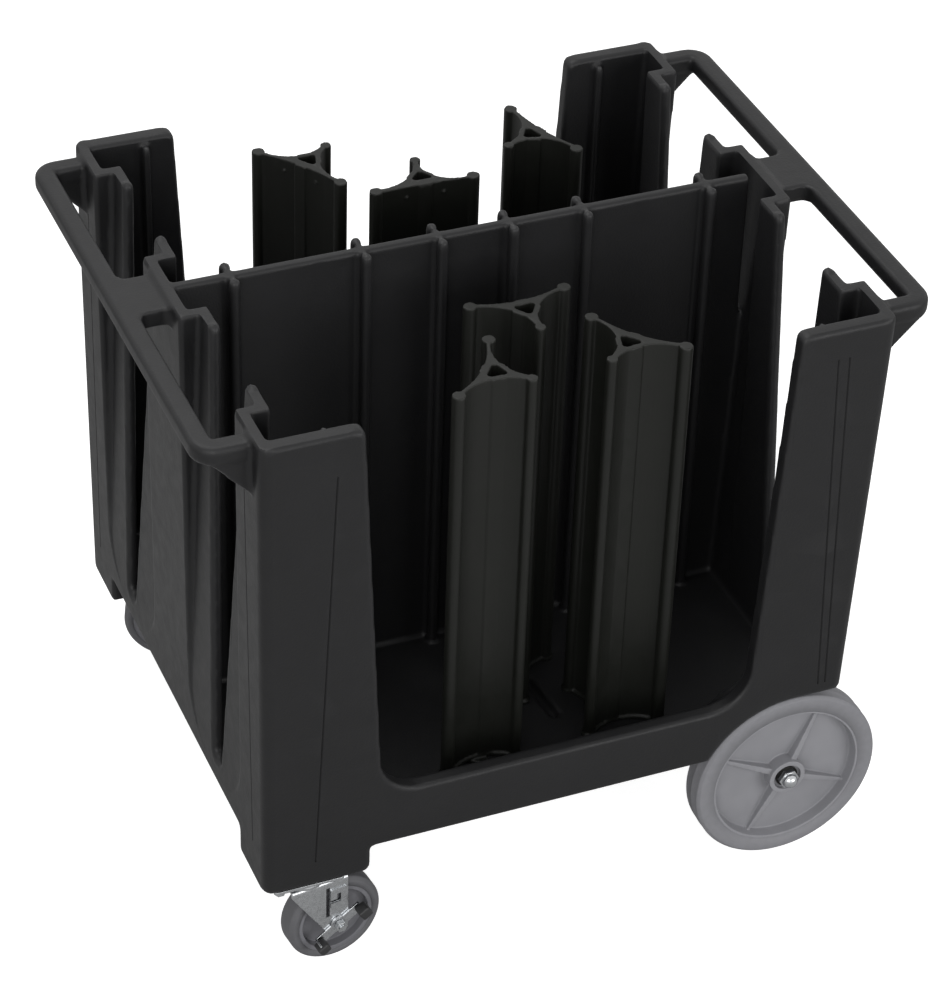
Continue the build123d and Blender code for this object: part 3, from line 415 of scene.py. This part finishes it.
def bake_modifiers(piece):
    """Replace the piece's mesh by what its modifiers make of it."""
    graph = bpy.context.evaluated_depsgraph_get()
    made = bpy.data.meshes.new_from_object(piece.evaluated_get(graph))
    piece.modifiers.clear()
    old = piece.data
    piece.data = made
    bpy.data.meshes.remove(old)
    if "custom_normal" in made.attributes:
        made.attributes.remove(made.attributes["custom_normal"])
    made.polygons.foreach_set("use_smooth", [True] * len(made.polygons))


def moved(outline, reach):
    """The same outline, shifted by reach."""
    return [Vector(point) + Vector(reach) for point in outline]


def closed_solids(name, shapes):
    """Mesh of several closed solids, each running between two outlines given in mm."""
    form = bmesh.new()
    for first, last in shapes:
        start = [form.verts.new(Vector(point) * MM) for point in first]
        finish = [form.verts.new(Vector(point) * MM) for point in last]
        form.faces.new(start)
        form.faces.new(list(reversed(finish)))
        for i, corner in enumerate(start):
            after = (i + 1) % len(start)
            form.faces.new((corner, finish[i], finish[after], start[after]))
    bmesh.ops.recalc_face_normals(form, faces=form.faces)
    mesh = bpy.data.meshes.new(name)
    form.to_mesh(mesh)
    form.free()
    return mesh


def settle_flats(piece, surface):
    """Put the net's flat parts back on the solid's own faces, and leave its round corners."""
    form = bmesh.new()
    form.from_mesh(surface)
    solid = BVHTree.FromBMesh(form)
    form.free()
    for vertex in piece.data.vertices:
        near, _, _, gap = solid.find_nearest(vertex.co)
        pull = min(1.0, max(0.0, (SETTLE_FAR - gap) / (SETTLE_FAR - SETTLE_NEAR)))
        vertex.co = vertex.co.lerp(near, pull)


def cut_away(piece, cuts):
    """Take solids away from the piece at their real depth, and keep the new edges crisp."""
    cutter = link(piece.name + "_cutter", closed_solids("cutter", cuts))
    cut = piece.modifiers.new("cut away", "BOOLEAN")
    cut.operation = "DIFFERENCE"
    cut.solver = "FAST"
    cut.object = cutter
    bake_modifiers(piece)
    bpy.data.objects.remove(cutter)
    piece.data.set_sharp_from_angle(angle=CRISP_ANGLE)


def lead_by_flats(piece, keep_sharp=False):
    """Let large flat faces set the shading, so that narrow round corners don't grey them."""
    even = piece.modifiers.new("flat faces lead", "WEIGHTED_NORMAL")
    even.weight = FLAT_LEAD
    even.keep_sharp = keep_sharp


def mould_rounded(node, cell_mm, passes, most_faces, added=(), cuts=()):
    """A skin over a CAD node whose corners run round, as a moulding's do.

    The solid is covered with an even net of cell_mm, the net is relaxed so that corners
    take a radius of a few cells, and flat areas are thinned out again. The solids in added
    join it first, and those in cuts are taken away last.
    """
    surface = welded_copy(node)
    if added:
        form = bmesh.new()
        form.from_mesh(surface)
        form.from_mesh(closed_solids(node + "_added", added))
        form.to_mesh(surface)
        form.free()
    piece = link(node + "_moulding", surface.copy())
    net = piece.modifiers.new("even net", "REMESH")
    net.mode = "VOXEL"
    net.voxel_size = cell_mm * MM
    relax = piece.modifiers.new("run round", "SMOOTH")
    relax.factor = 0.5
    relax.iterations = passes
    bake_modifiers(piece)
    settle_flats(piece, surface)
    faces = sum(len(p.vertices) - 2 for p in piece.data.polygons)
    if faces > most_faces:
        thin = piece.modifiers.new("thin flats", "DECIMATE")
        thin.ratio = most_faces / faces
        bake_modifiers(piece)
    if cuts:
        cut_away(piece, cuts)
    lead_by_flats(piece, keep_sharp=True)
    return piece


def rounded_profile(points, radii):
    """Closed outline with its corners rounded by arcs; points are (radius, offset)."""
    made = []
    count = len(points)
    for i, (corner, radius) in enumerate(zip(points, radii)):
        here = Vector(corner)
        back = (Vector(points[i - 1]) - here).normalized()
        ahead = (Vector(points[(i + 1) % count]) - here).normalized()
        half = back.angle(ahead) / 2
        if radius <= 0 or half > math.pi / 2 - NEARLY_STRAIGHT:
            made.append(here)
            continue
        run = radius / math.tan(half)
        middle = here + (back + ahead).normalized() * (radius / math.sin(half))
        a = here + back * run - middle
        b = here + ahead * run - middle
        for step in range(ARC_STEPS + 1):
            t = step / ARC_STEPS
            made.append(middle + (a * (1 - t) + b * t).normalized() * radius)
    return made


def turned(name, profile, place, steps):
    """Turn a closed (radius, offset) outline about the Y axis of a placing matrix."""
    form = bmesh.new()
    rings = []
    for step in range(steps):
        turn = 2 * math.pi * step / steps
        rings.append([form.verts.new(place @ Vector((r * math.cos(turn), y, r * math.sin(turn))))
                      for r, y in profile])
    for step in range(steps):
        one, two = rings[step], rings[(step + 1) % steps]
        for i in range(len(profile)):
            j = (i + 1) % len(profile)
            form.faces.new((one[i], one[j], two[j], two[i]))
    bmesh.ops.recalc_face_normals(form, faces=form.faces)
    mesh = bpy.data.meshes.new(name)
    form.to_mesh(mesh)
    form.free()
    mesh.polygons.foreach_set("use_smooth", [True] * len(mesh.polygons))
    return link(name, mesh)


def joint_named(name):
    """The frame's entry for one joint."""
    return next(joint for joint in frame["joints"] if joint["name"] == name)


def spin_place(joint_name):
    """Matrix whose origin and Y axis are those of a spinning joint."""
    joint = joint_named(joint_name)
    along = Vector(joint["axis"]).normalized()
    out = along.cross(Vector((0, 0, 1))).normalized()
    up = out.cross(along)
    place = Matrix((out, along, up)).transposed().to_4x4()
    place.translation = Vector(joint["pos_m"])
    return place


def keep_cad(nodes, material, edge_mm):
    """CAD nodes whose shape is right: a finish, and the small radius their edges have."""
    for node in nodes:
        piece = frame["nodes"][node]
        piece.data.materials.clear()
        piece.data.materials.append(material)
        if edge_mm:
            weld = piece.modifiers.new("join split edges", "WELD")
            weld.merge_threshold = WELD_WITHIN
            bevel = piece.modifiers.new("broken edge", "BEVEL")
            bevel.width = edge_mm * MM
            bevel.segments = 2
            bevel.limit_method = "ANGLE"
            bevel.angle_limit = BROKEN_ANGLE
            lead_by_flats(piece)


# ---- settings --------------------------------------------------------------
class CartFinish(bpy.types.PropertyGroup):
    """Colours and gloss that a user would change."""
    body: bpy.props.FloatVectorProperty(
        name="Body colour", description="Through-coloured black of the moulded body",
        subtype="COLOR", size=3, min=0, max=1, default=from_hex("#19191A")[:3])
    tower: bpy.props.FloatVectorProperty(
        name="Divider colour", description="Warmer black of the lift-out dividers",
        subtype="COLOR", size=3, min=0, max=1, default=from_hex("#121310")[:3])
    disc: bpy.props.FloatVectorProperty(
        name="Wheel centre colour", description="Light grey of the moulded wheel centres",
        subtype="COLOR", size=3, min=0, max=1, default=from_hex("#87878B")[:3])
    tyre: bpy.props.FloatVectorProperty(
        name="Tyre colour", description="Grey of the non-marking tyres",
        subtype="COLOR", size=3, min=0, max=1, default=from_hex("#7B7B7F")[:3])
    body_roughness: bpy.props.FloatProperty(
        name="Body roughness", description="Roughness of the moulded plastic",
        subtype="FACTOR", min=0, max=1, default=0.46)


class CartMoulding(bpy.types.PropertyGroup):
    """How soft the moulded corners are."""
    body_cell: bpy.props.FloatProperty(
        name="Body net", description="Cell of the net that rounds the body's corners, in mm",
        min=1.5, max=8, default=3.0)
    body_passes: bpy.props.IntProperty(
        name="Body rounding", description="How often the body's net is relaxed",
        min=1, max=30, default=8)
    tower_cell: bpy.props.FloatProperty(
        name="Divider net", description="Cell of the net that rounds the dividers, in mm",
        min=1.0, max=5, default=1.7)


class CartStudio(bpy.types.PropertyGroup):
    """Camera and lamps."""
    camera_place: bpy.props.FloatVectorProperty(
        name="Camera place", description="Where the camera stands", subtype="TRANSLATION",
        unit="LENGTH", size=3, default=(-1.3823, -3.2335, 3.0081))
    camera_yaw: bpy.props.FloatProperty(
        name="Camera heading", description="Turn of the view from straight across the cart",
        subtype="ANGLE", default=math.radians(23.38))
    camera_pitch: bpy.props.FloatProperty(
        name="Camera drop", description="How far the view looks down",
        subtype="ANGLE", default=math.radians(36.53))
    camera_roll: bpy.props.FloatProperty(
        name="Camera roll", description="Small roll of the view",
        subtype="ANGLE", default=math.radians(2.07))
    camera_lens: bpy.props.FloatProperty(
        name="Lens", description="Focal length on a 36 mm wide sensor, in mm",
        min=20, max=400, default=128.8)
    key_power: bpy.props.FloatProperty(
        name="Key lamp", description="Power of the large soft lamp at the front left",
        unit="POWER", min=0, max=2000, default=72.0)
    fill_level: bpy.props.FloatProperty(
        name="Room light", description="Even light from the room",
        min=0, max=2, default=0.40)


# Filled by the first operator; the others take their finishes from it.
MATERIALS = {}


# ---- operators -------------------------------------------------------------
class CART_OT_materials(bpy.types.Operator):
    """Make every finish on the cart"""
    bl_idname = "cart.materials"
    bl_label = "Make the finishes"

    def execute(self, context):
        MATERIALS.update(make_materials())
        return {"FINISHED"}


def web_solid(end):
    """Full-depth web between wall and rail, with a hand-hole radius at its four corners."""
    side = -WEB_HALF - WEB_RADIUS
    edge = [(END_FACE - WEB_ROOT, side)]
    for centre, first in ((END_FACE + WEB_RADIUS, 180), (RAIL_INSIDE - WEB_RADIUS, 90)):
        for step in range(ARC_STEPS + 1):
            turn = math.radians(first - 90 / ARC_STEPS * step)
            edge.append((centre + WEB_RADIUS * math.cos(turn),
                         side + WEB_RADIUS * math.sin(turn)))
    edge.append((RAIL_MIDDLE, side))
    edge += [(x, -y) for x, y in reversed(edge)]
    outline = [(end * x, y, WEB_BOTTOM) for x, y in edge]
    return outline, moved(outline, (0, 0, RAIL_TOP - WEB_BOTTOM))


def pressed_lines():
    """Upright lines pressed into both side walls and the caster-end skin, as wedges."""
    wedge = ((-LINE_WIDTH / 2, -LINE_OUTSIDE), (LINE_WIDTH / 2, -LINE_OUTSIDE), (0, LINE_DEPTH))
    cuts = []
    for side in (-1, 1):
        for x_top, z_top, x_foot, z_foot in SIDE_LINES:
            cuts.append([[(x + across, side * (SIDE_FACE - deep), z) for across, deep in wedge]
                         for x, z in ((x_top, z_top), (x_foot, z_foot))])
        y_top, z_top, y_foot, z_foot = END_LINE
        cuts.append([[(deep - END_FACE, side * (y + across), z) for across, deep in wedge]
                     for y, z in ((y_top, z_top), (y_foot, z_foot))])
    return cuts


class CART_OT_body(bpy.types.Operator):
    """Cover the moulded body with a skin whose corners run round"""
    bl_idname = "cart.body"
    bl_label = "Moulded body"

    def execute(self, context):
        moulding = context.scene.cart_moulding
        piece = mould_rounded("cart_body", moulding.body_cell, moulding.body_passes,
                              BODY_TRIANGLES, added=[web_solid(-1), web_solid(1)],
                              cuts=pressed_lines())
        dress(piece, MATERIALS["moulded_body"], "moulded_body", "cart_body")
        return {"FINISHED"}


def upright(outline, low, high):
    """Upright solid over a flat outline between two heights."""
    face = [(x, y, low) for x, y in outline]
    return face, moved(face, (0, 0, high - low))


def heading_vector(degrees):
    """Level direction at a heading, counted from the X axis."""
    turn = math.radians(degrees)
    return Vector((math.cos(turn), math.sin(turn)))


def divider_detail(x, y, *headings):
    """Full beads along a divider's blades, and a soft band up the middle of each face."""
    solids = []
    middle = Vector((x, y))
    for heading, place, radius in zip(headings, BEAD_PLACES, BEAD_RADII):
        tip = middle + heading_vector(heading) * place
        circle = [tip + heading_vector(360 / BEAD_CORNERS * step) * radius
                  for step in range(BEAD_CORNERS)]
        solids.append(upright(circle, DIVIDER_FOOT, DIVIDER_TOP))
    ordered = sorted(heading % 360 for heading in headings)
    for first, second in zip(ordered, ordered[1:] + [ordered[0] + 360]):
        out = heading_vector((first + second) / 2)
        across = Vector((-out.y, out.x)) * (BAND_WIDTH / 2)
        near, far = (middle + out * (BAND_PLACE + BAND_RISE * i) for i in (-1, 1))
        solids.append(upright([near - across, far - across, far + across, near + across],
                              DIVIDER_FOOT, DIVIDER_TOP))
    return solids


class CART_OT_dividers(bpy.types.Operator):
    """Cover the six lift-out dividers with softened skins"""
    bl_idname = "cart.dividers"
    bl_label = "Divider towers"

    def execute(self, context):
        cell = context.scene.cart_moulding.tower_cell
        for number, divider in enumerate(DIVIDERS, start=1):
            node = f"divider_tower_{number}"
            piece = mould_rounded(node, cell, *DIVIDER_ROUNDING, added=divider_detail(*divider))
            dress(piece, MATERIALS["tower"], "tower", node)
        return {"FINISHED"}


def wheel_middle(side):
    """Middle of a large wheel in mm."""
    return Vector(joint_named(f"large_wheel_{side}_spin")["pos_m"]) / MM


def wheel_circle(middle, radius, offset):
    """Circle about the axle, offset mm along it from the wheel's middle."""
    turns = [2 * math.pi * step / CIRCLE_STEPS for step in range(CIRCLE_STEPS)]
    return [middle + Vector((radius * math.cos(t), offset, radius * math.sin(t))) for t in turns]


def wheel_ribs(middle):
    """Ribs that taper from the hub to the rim in width and in height."""
    ribs = []
    for number in range(RIB_COUNT):
        turn = math.radians(RIB_FIRST + 360 / RIB_COUNT * number)
        out = Vector((math.cos(turn), 0, -math.sin(turn)))
        across = Vector((math.sin(turn), 0, math.cos(turn)))
        ribs.append([[middle + out * radius + across * (width / 2 * i) + Vector((0, height * j, 0))
                      for i, j in ((-1, -1), (1, -1), (1, 1), (-1, 1))]
                     for radius, width, height in RIB_ENDS])
    return ribs


def large_disc(side):
    """Wheel centre with its ribs, hub ring, recess and bore."""
    middle = wheel_middle(side)
    out = math.copysign(1, middle.y)
    hub = [wheel_circle(middle, HUB_RADIUS, offset) for offset in (0, HUB_REACH * out)]
    recess = [wheel_circle(middle, RECESS_RADIUS, offset * out)
              for offset in (RECESS_FLOOR, PAST_HUB)]
    bore = [wheel_circle(middle, BORE_RADIUS, offset) for offset in (-PAST_HUB, PAST_HUB)]
    return mould_rounded(f"rear_wheel_{side}", *WHEEL_DISC_ROUNDING,
                         added=wheel_ribs(middle) + [hub], cuts=[recess, bore])


def large_tyre(side):
    """Tyre with flat side faces, a round shoulder and a faint mould line round its middle."""
    low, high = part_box(f"rear_tyre_{side}")
    reach, half = (high.z - low.z) / 2, (high.y - low.y) / 2
    inner = reach - TYRE_DEPTH * MM
    crown = reach - MOULD_LINE_HEIGHT * MM
    shoulder = reach - TYRE_SHOULDER_DOWN * MM
    turn_in = TYRE_SHOULDER_IN * MM
    line = MOULD_LINE_HALF * MM
    points = [(inner, -half), (shoulder, -half), (crown, turn_in - half),
              (crown, -line), (reach, 0), (crown, line),
              (crown, half - turn_in), (shoulder, half), (inner, half)]
    soft = TYRE_ROUND * MM
    return turned(f"tyre_large_{side}",
                  rounded_profile(points, [0, soft, soft, 0, 0, 0, soft, soft, 0]),
                  spin_place(f"large_wheel_{side}_spin"), TYRE_STEPS)


class CART_OT_large_wheels(bpy.types.Operator):
    """Turn the large tyres, soften the discs and finish the axle's parts"""
    bl_idname = "cart.large_wheels"
    bl_label = "Large wheels"

    def execute(self, context):
        for side in SIDES:
            disc, nut = f"rear_wheel_{side}", f"acorn_nut_{side}"
            dress(large_tyre(side), MATERIALS["wheel_tyre"], "wheel_tyre", f"rear_tyre_{side}")
            dress(large_disc(side), MATERIALS["wheel_disc"], "wheel_disc", disc)
            dress(mould_rounded(nut, *ACORN_NUT_ROUNDING), MATERIALS["chrome_nut"],
                  "chrome_nut", nut)
            keep_cad([f"wheel_bush_{side}", f"axle_bush_{side}"], MATERIALS["bush"], 0)
            keep_cad([f"axle_spacer_{side}"], MATERIALS["axle_steel"], EDGE_FINE)
            keep_cad([f"axle_washer_{side}"], MATERIALS["washer_steel"], EDGE_FINE)
        keep_cad(["rear_axle"], MATERIALS["axle_steel"], 0)
        return {"FINISHED"}


def wheel_directions():
    """Level directions along and across the braked caster's wheel at rest."""
    along = Vector((math.cos(CASTER_HEADING), math.sin(CASTER_HEADING), 0))
    return along, Vector((-along.y, along.x, 0))


def bracket_gaps():
    """Gap beside the brake's bracket and window behind its hook, through the outer leg."""
    middle = Vector(joint_named("caster_near_spin")["pos_m"]) / MM
    level, across = wheel_directions()
    gaps = []
    for left, right, low, high in BRACKET_GAPS:
        outline = [middle + level * along - across * LEG_OUTSIDE + Vector((0, 0, rise))
                   for along, rise in ((left, low), (right, low), (right, high), (left, high))]
        gaps.append((outline, moved(outline, across * LEG_CUT)))
    return gaps


def caster_tread(side):
    """Crowned tread of a small wheel, wider than the core it sits on."""
    low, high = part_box(f"caster_tread_{side}")
    reach, half = (high.z - low.z) / 2, TREAD_HALF * MM
    inner = reach - TREAD_DEPTH * MM
    shoulder = TREAD_SHOULDER * MM
    points = [(inner, -half), (reach - shoulder, -half), (reach, shoulder - half),
              (reach, half - shoulder), (reach - shoulder, half), (inner, half)]
    soft, crown = TREAD_ROUND_SIDE * MM, TREAD_ROUND_CROWN * MM
    return turned(f"tread_small_{side}",
                  rounded_profile(points, [0, soft, crown, crown, soft, 0]),
                  spin_place(f"caster_{side}_spin"), TREAD_STEPS)


class CART_OT_casters(bpy.types.Operator):
    """Turn the caster treads, soften the pressed forks and finish the hardware"""
    bl_idname = "cart.casters"
    bl_label = "Swivel casters"

    def execute(self, context):
        zinc = MATERIALS["zinc_steel"]
        for side in SIDES:
            core, fork = f"caster_core_{side}", f"caster_fork_{side}"
            dress(caster_tread(side), MATERIALS["caster_tread"], "wheel_tyre",
                  f"caster_tread_{side}")
            dress(mould_rounded(core, *CASTER_CORE_ROUNDING), MATERIALS["caster_core"],
                  "wheel_disc", core)
            cuts = bracket_gaps() if side == "near" else ()
            dress(mould_rounded(fork, *CASTER_FORK_ROUNDING, cuts=cuts), zinc, "zinc_steel", fork)
            keep_cad([f"caster_{part}_{side}" for part in ("plate", "bolts", "nut", "axle")],
                     zinc, EDGE_STEEL)
            keep_cad([f"caster_{part}_{side}" for part in ("kingpin", "race", "sleeve")], zinc, 0)
        return {"FINISHED"}


def brake_pads():
    """Two rubber blocks over the lever's folded ends, in line with the lever."""
    low, high = (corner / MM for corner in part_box("brake_pads"))
    middle = (low + high) / 2
    level, across = wheel_directions()
    along = level * math.cos(LEVER_TILT) + Vector((0, 0, math.sin(LEVER_TILT)))
    over = along.cross(across)
    blocks = []
    for side, thick in ((-1, PAD_WORN), (1, PAD_THICK)):
        centre = middle + along * (side * PAD_REACH)
        outline = [centre + along * (i * PAD_LENGTH / 2) + over * (j * thick / 2)
                   - across * (PAD_DEPTH / 2)
                   for i, j in ((-1, -1), (1, -1), (1, 1), (-1, 1))]
        blocks.append((outline, moved(outline, across * PAD_DEPTH)))
    piece = link("brake_pads_moulding", closed_solids("brake_pads_moulding", blocks))
    bevel = piece.modifiers.new("moulded corners", "BEVEL")
    bevel.width = PAD_ROUND * MM
    bevel.segments = 4
    bake_modifiers(piece)
    return piece


class CART_OT_brake(bpy.types.Operator):
    """Finish the rocking brake lever and its rubber pads"""
    bl_idname = "cart.brake"
    bl_label = "Wheel brake"

    def execute(self, context):
        zinc = MATERIALS["zinc_steel"]
        dress(mould_rounded("brake_lever", *BRAKE_LEVER_ROUNDING), zinc, "zinc_steel",
              "brake_lever")
        dress(brake_pads(), MATERIALS["brake_rubber"], "brake_rubber", "brake_pads")
        keep_cad(["brake_bracket"], zinc, EDGE_FINE)
        return {"FINISHED"}


def stage_material():
    """Pale painted floor: matt white that lifts to the white background for the camera."""
    material, tree, _ = start_material("paint_matt_white")
    paint = add(tree, "BsdfDiffuse", {"Color": from_hex("#D2D2D2")})
    glow = add(tree, "Emission", {"Color": (1, 1, 1, 1), "Strength": FLOOR_GLOW})
    both = add(tree, "AddShader")
    tree.links.new(paint.outputs[0], both.inputs[0])
    tree.links.new(glow.outputs[0], both.inputs[1])
    eye = add(tree, "LightPath")
    mixed = add(tree, "MixShader", {"Fac": eye.outputs["Is Camera Ray"]})
    tree.links.new(paint.outputs[0], mixed.inputs[1])
    tree.links.new(both.outputs[0], mixed.inputs[2])
    add(tree, "OutputMaterial", {"Surface": mixed.outputs[0]})
    return material


def lamp(name, place, target, size, power):
    """A large soft rectangular lamp facing a point."""
    light = bpy.data.lights.new(name, "AREA")
    light.shape = "RECTANGLE"
    light.size, light.size_y = size
    light.energy = power
    made = link(name, light)
    made.location = place
    made.rotation_euler = (Vector(target) - Vector(place)).to_track_quat("-Z", "Y").to_euler()


def room_light(level):
    """Even room light, seen as plain white by the camera and in reflections."""
    world = bpy.data.worlds.new("studio")
    world.use_nodes = True
    tree = world.node_tree
    tree.nodes.clear()
    ray = add(tree, "LightPath").outputs
    seen = add(tree, "Math", {0: ray["Is Camera Ray"], 1: ray["Is Glossy Ray"]},
               operation="MAXIMUM").outputs[0]
    seen = add(tree, "Math", {0: seen, 1: ray["Is Transmission Ray"]},
               operation="MAXIMUM").outputs[0]
    strength = add(tree, "MapRange", {"Value": seen, "To Min": level, "To Max": 1.0})
    back = add(tree, "Background", {"Color": (1, 1, 1, 1), "Strength": strength.outputs[0]})
    add(tree, "OutputWorld", {"Surface": back.outputs[0]})
    bpy.context.scene.world = world


def photo_camera(studio):
    """Camera at the photograph's place, looking along its fitted angles."""
    yaw, pitch, roll = studio.camera_yaw, studio.camera_pitch, studio.camera_roll
    ahead = Vector((math.sin(yaw) * math.cos(pitch), math.cos(yaw) * math.cos(pitch),
                    -math.sin(pitch)))
    right = ahead.cross(Vector((0, 0, 1))).normalized()
    up = right.cross(ahead)
    right, up = (right * math.cos(roll) + up * math.sin(roll),
                 up * math.cos(roll) - right * math.sin(roll))
    lens = bpy.data.cameras.new("photo_camera")
    lens.sensor_fit = "HORIZONTAL"
    lens.sensor_width = SENSOR_WIDTH
    lens.lens = studio.camera_lens
    lens.clip_end = 100
    made = link("photo_camera", lens)
    place = Matrix((right, up, -ahead)).transposed().to_4x4()
    place.translation = Vector(studio.camera_place)
    made.matrix_world = place
    bpy.context.scene.camera = made


class CART_OT_studio(bpy.types.Operator):
    """Set up the pale floor, the soft lamps and the camera"""
    bl_idname = "cart.studio"
    bl_label = "Studio"

    def execute(self, context):
        studio = context.scene.cart_studio
        form = bmesh.new()
        corners = [form.verts.new((x * FLOOR_HALF, y * FLOOR_HALF, -FLOOR_DROP))
                   for x, y in ((-1, -1), (1, -1), (1, 1), (-1, 1))]
        form.faces.new(corners)
        mesh = bpy.data.meshes.new("floor")
        form.to_mesh(mesh)
        form.free()
        floor = link("floor", mesh)
        floor.data.materials.append(stage_material())
        for name, place, target, size, share in LAMPS:
            lamp(name, place, target, size, studio.key_power * share)
        room_light(studio.fill_level)
        photo_camera(studio)
        context.scene.view_settings.view_transform = "Standard"
        return {"FINISHED"}


OPERATORS = (CART_OT_materials, CART_OT_body, CART_OT_dividers, CART_OT_large_wheels,
             CART_OT_casters, CART_OT_brake, CART_OT_studio)


class CART_PT_panel(bpy.types.Panel):
    """Sizes, colours and steps of the cart"""
    bl_idname = "CART_PT_panel"
    bl_label = "Plate dispenser cart"
    bl_space_type = "VIEW_3D"
    bl_region_type = "UI"
    bl_category = "Cart"

    def draw(self, context):
        layout = self.layout
        for group in GROUPS:
            box = layout.box()
            settings = getattr(context.scene, group)
            for name in settings.__annotations__:
                box.prop(settings, name)
        for step in OPERATORS:
            layout.operator(step.bl_idname)


GROUPS = {"cart_finish": CartFinish, "cart_moulding": CartMoulding, "cart_studio": CartStudio}


def register():
    """Make the settings, the steps and the panel known."""
    for made in (*GROUPS.values(), *OPERATORS, CART_PT_panel):
        bpy.utils.register_class(made)
    for name, group in GROUPS.items():
        setattr(bpy.types.Scene, name, bpy.props.PointerProperty(type=group))


def unregister():
    """Take them away again."""
    for name in GROUPS:
        delattr(bpy.types.Scene, name)
    for made in (CART_PT_panel, *reversed(OPERATORS), *reversed(list(GROUPS.values()))):
        bpy.utils.unregister_class(made)


def main():
    """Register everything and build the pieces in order."""
    register()
    bpy.ops.cart.materials()
    bpy.ops.cart.body()
    bpy.ops.cart.dividers()
    bpy.ops.cart.large_wheels()
    bpy.ops.cart.casters()
    bpy.ops.cart.brake()
    bpy.ops.cart.studio()


if __name__ == "__main__":
    main()
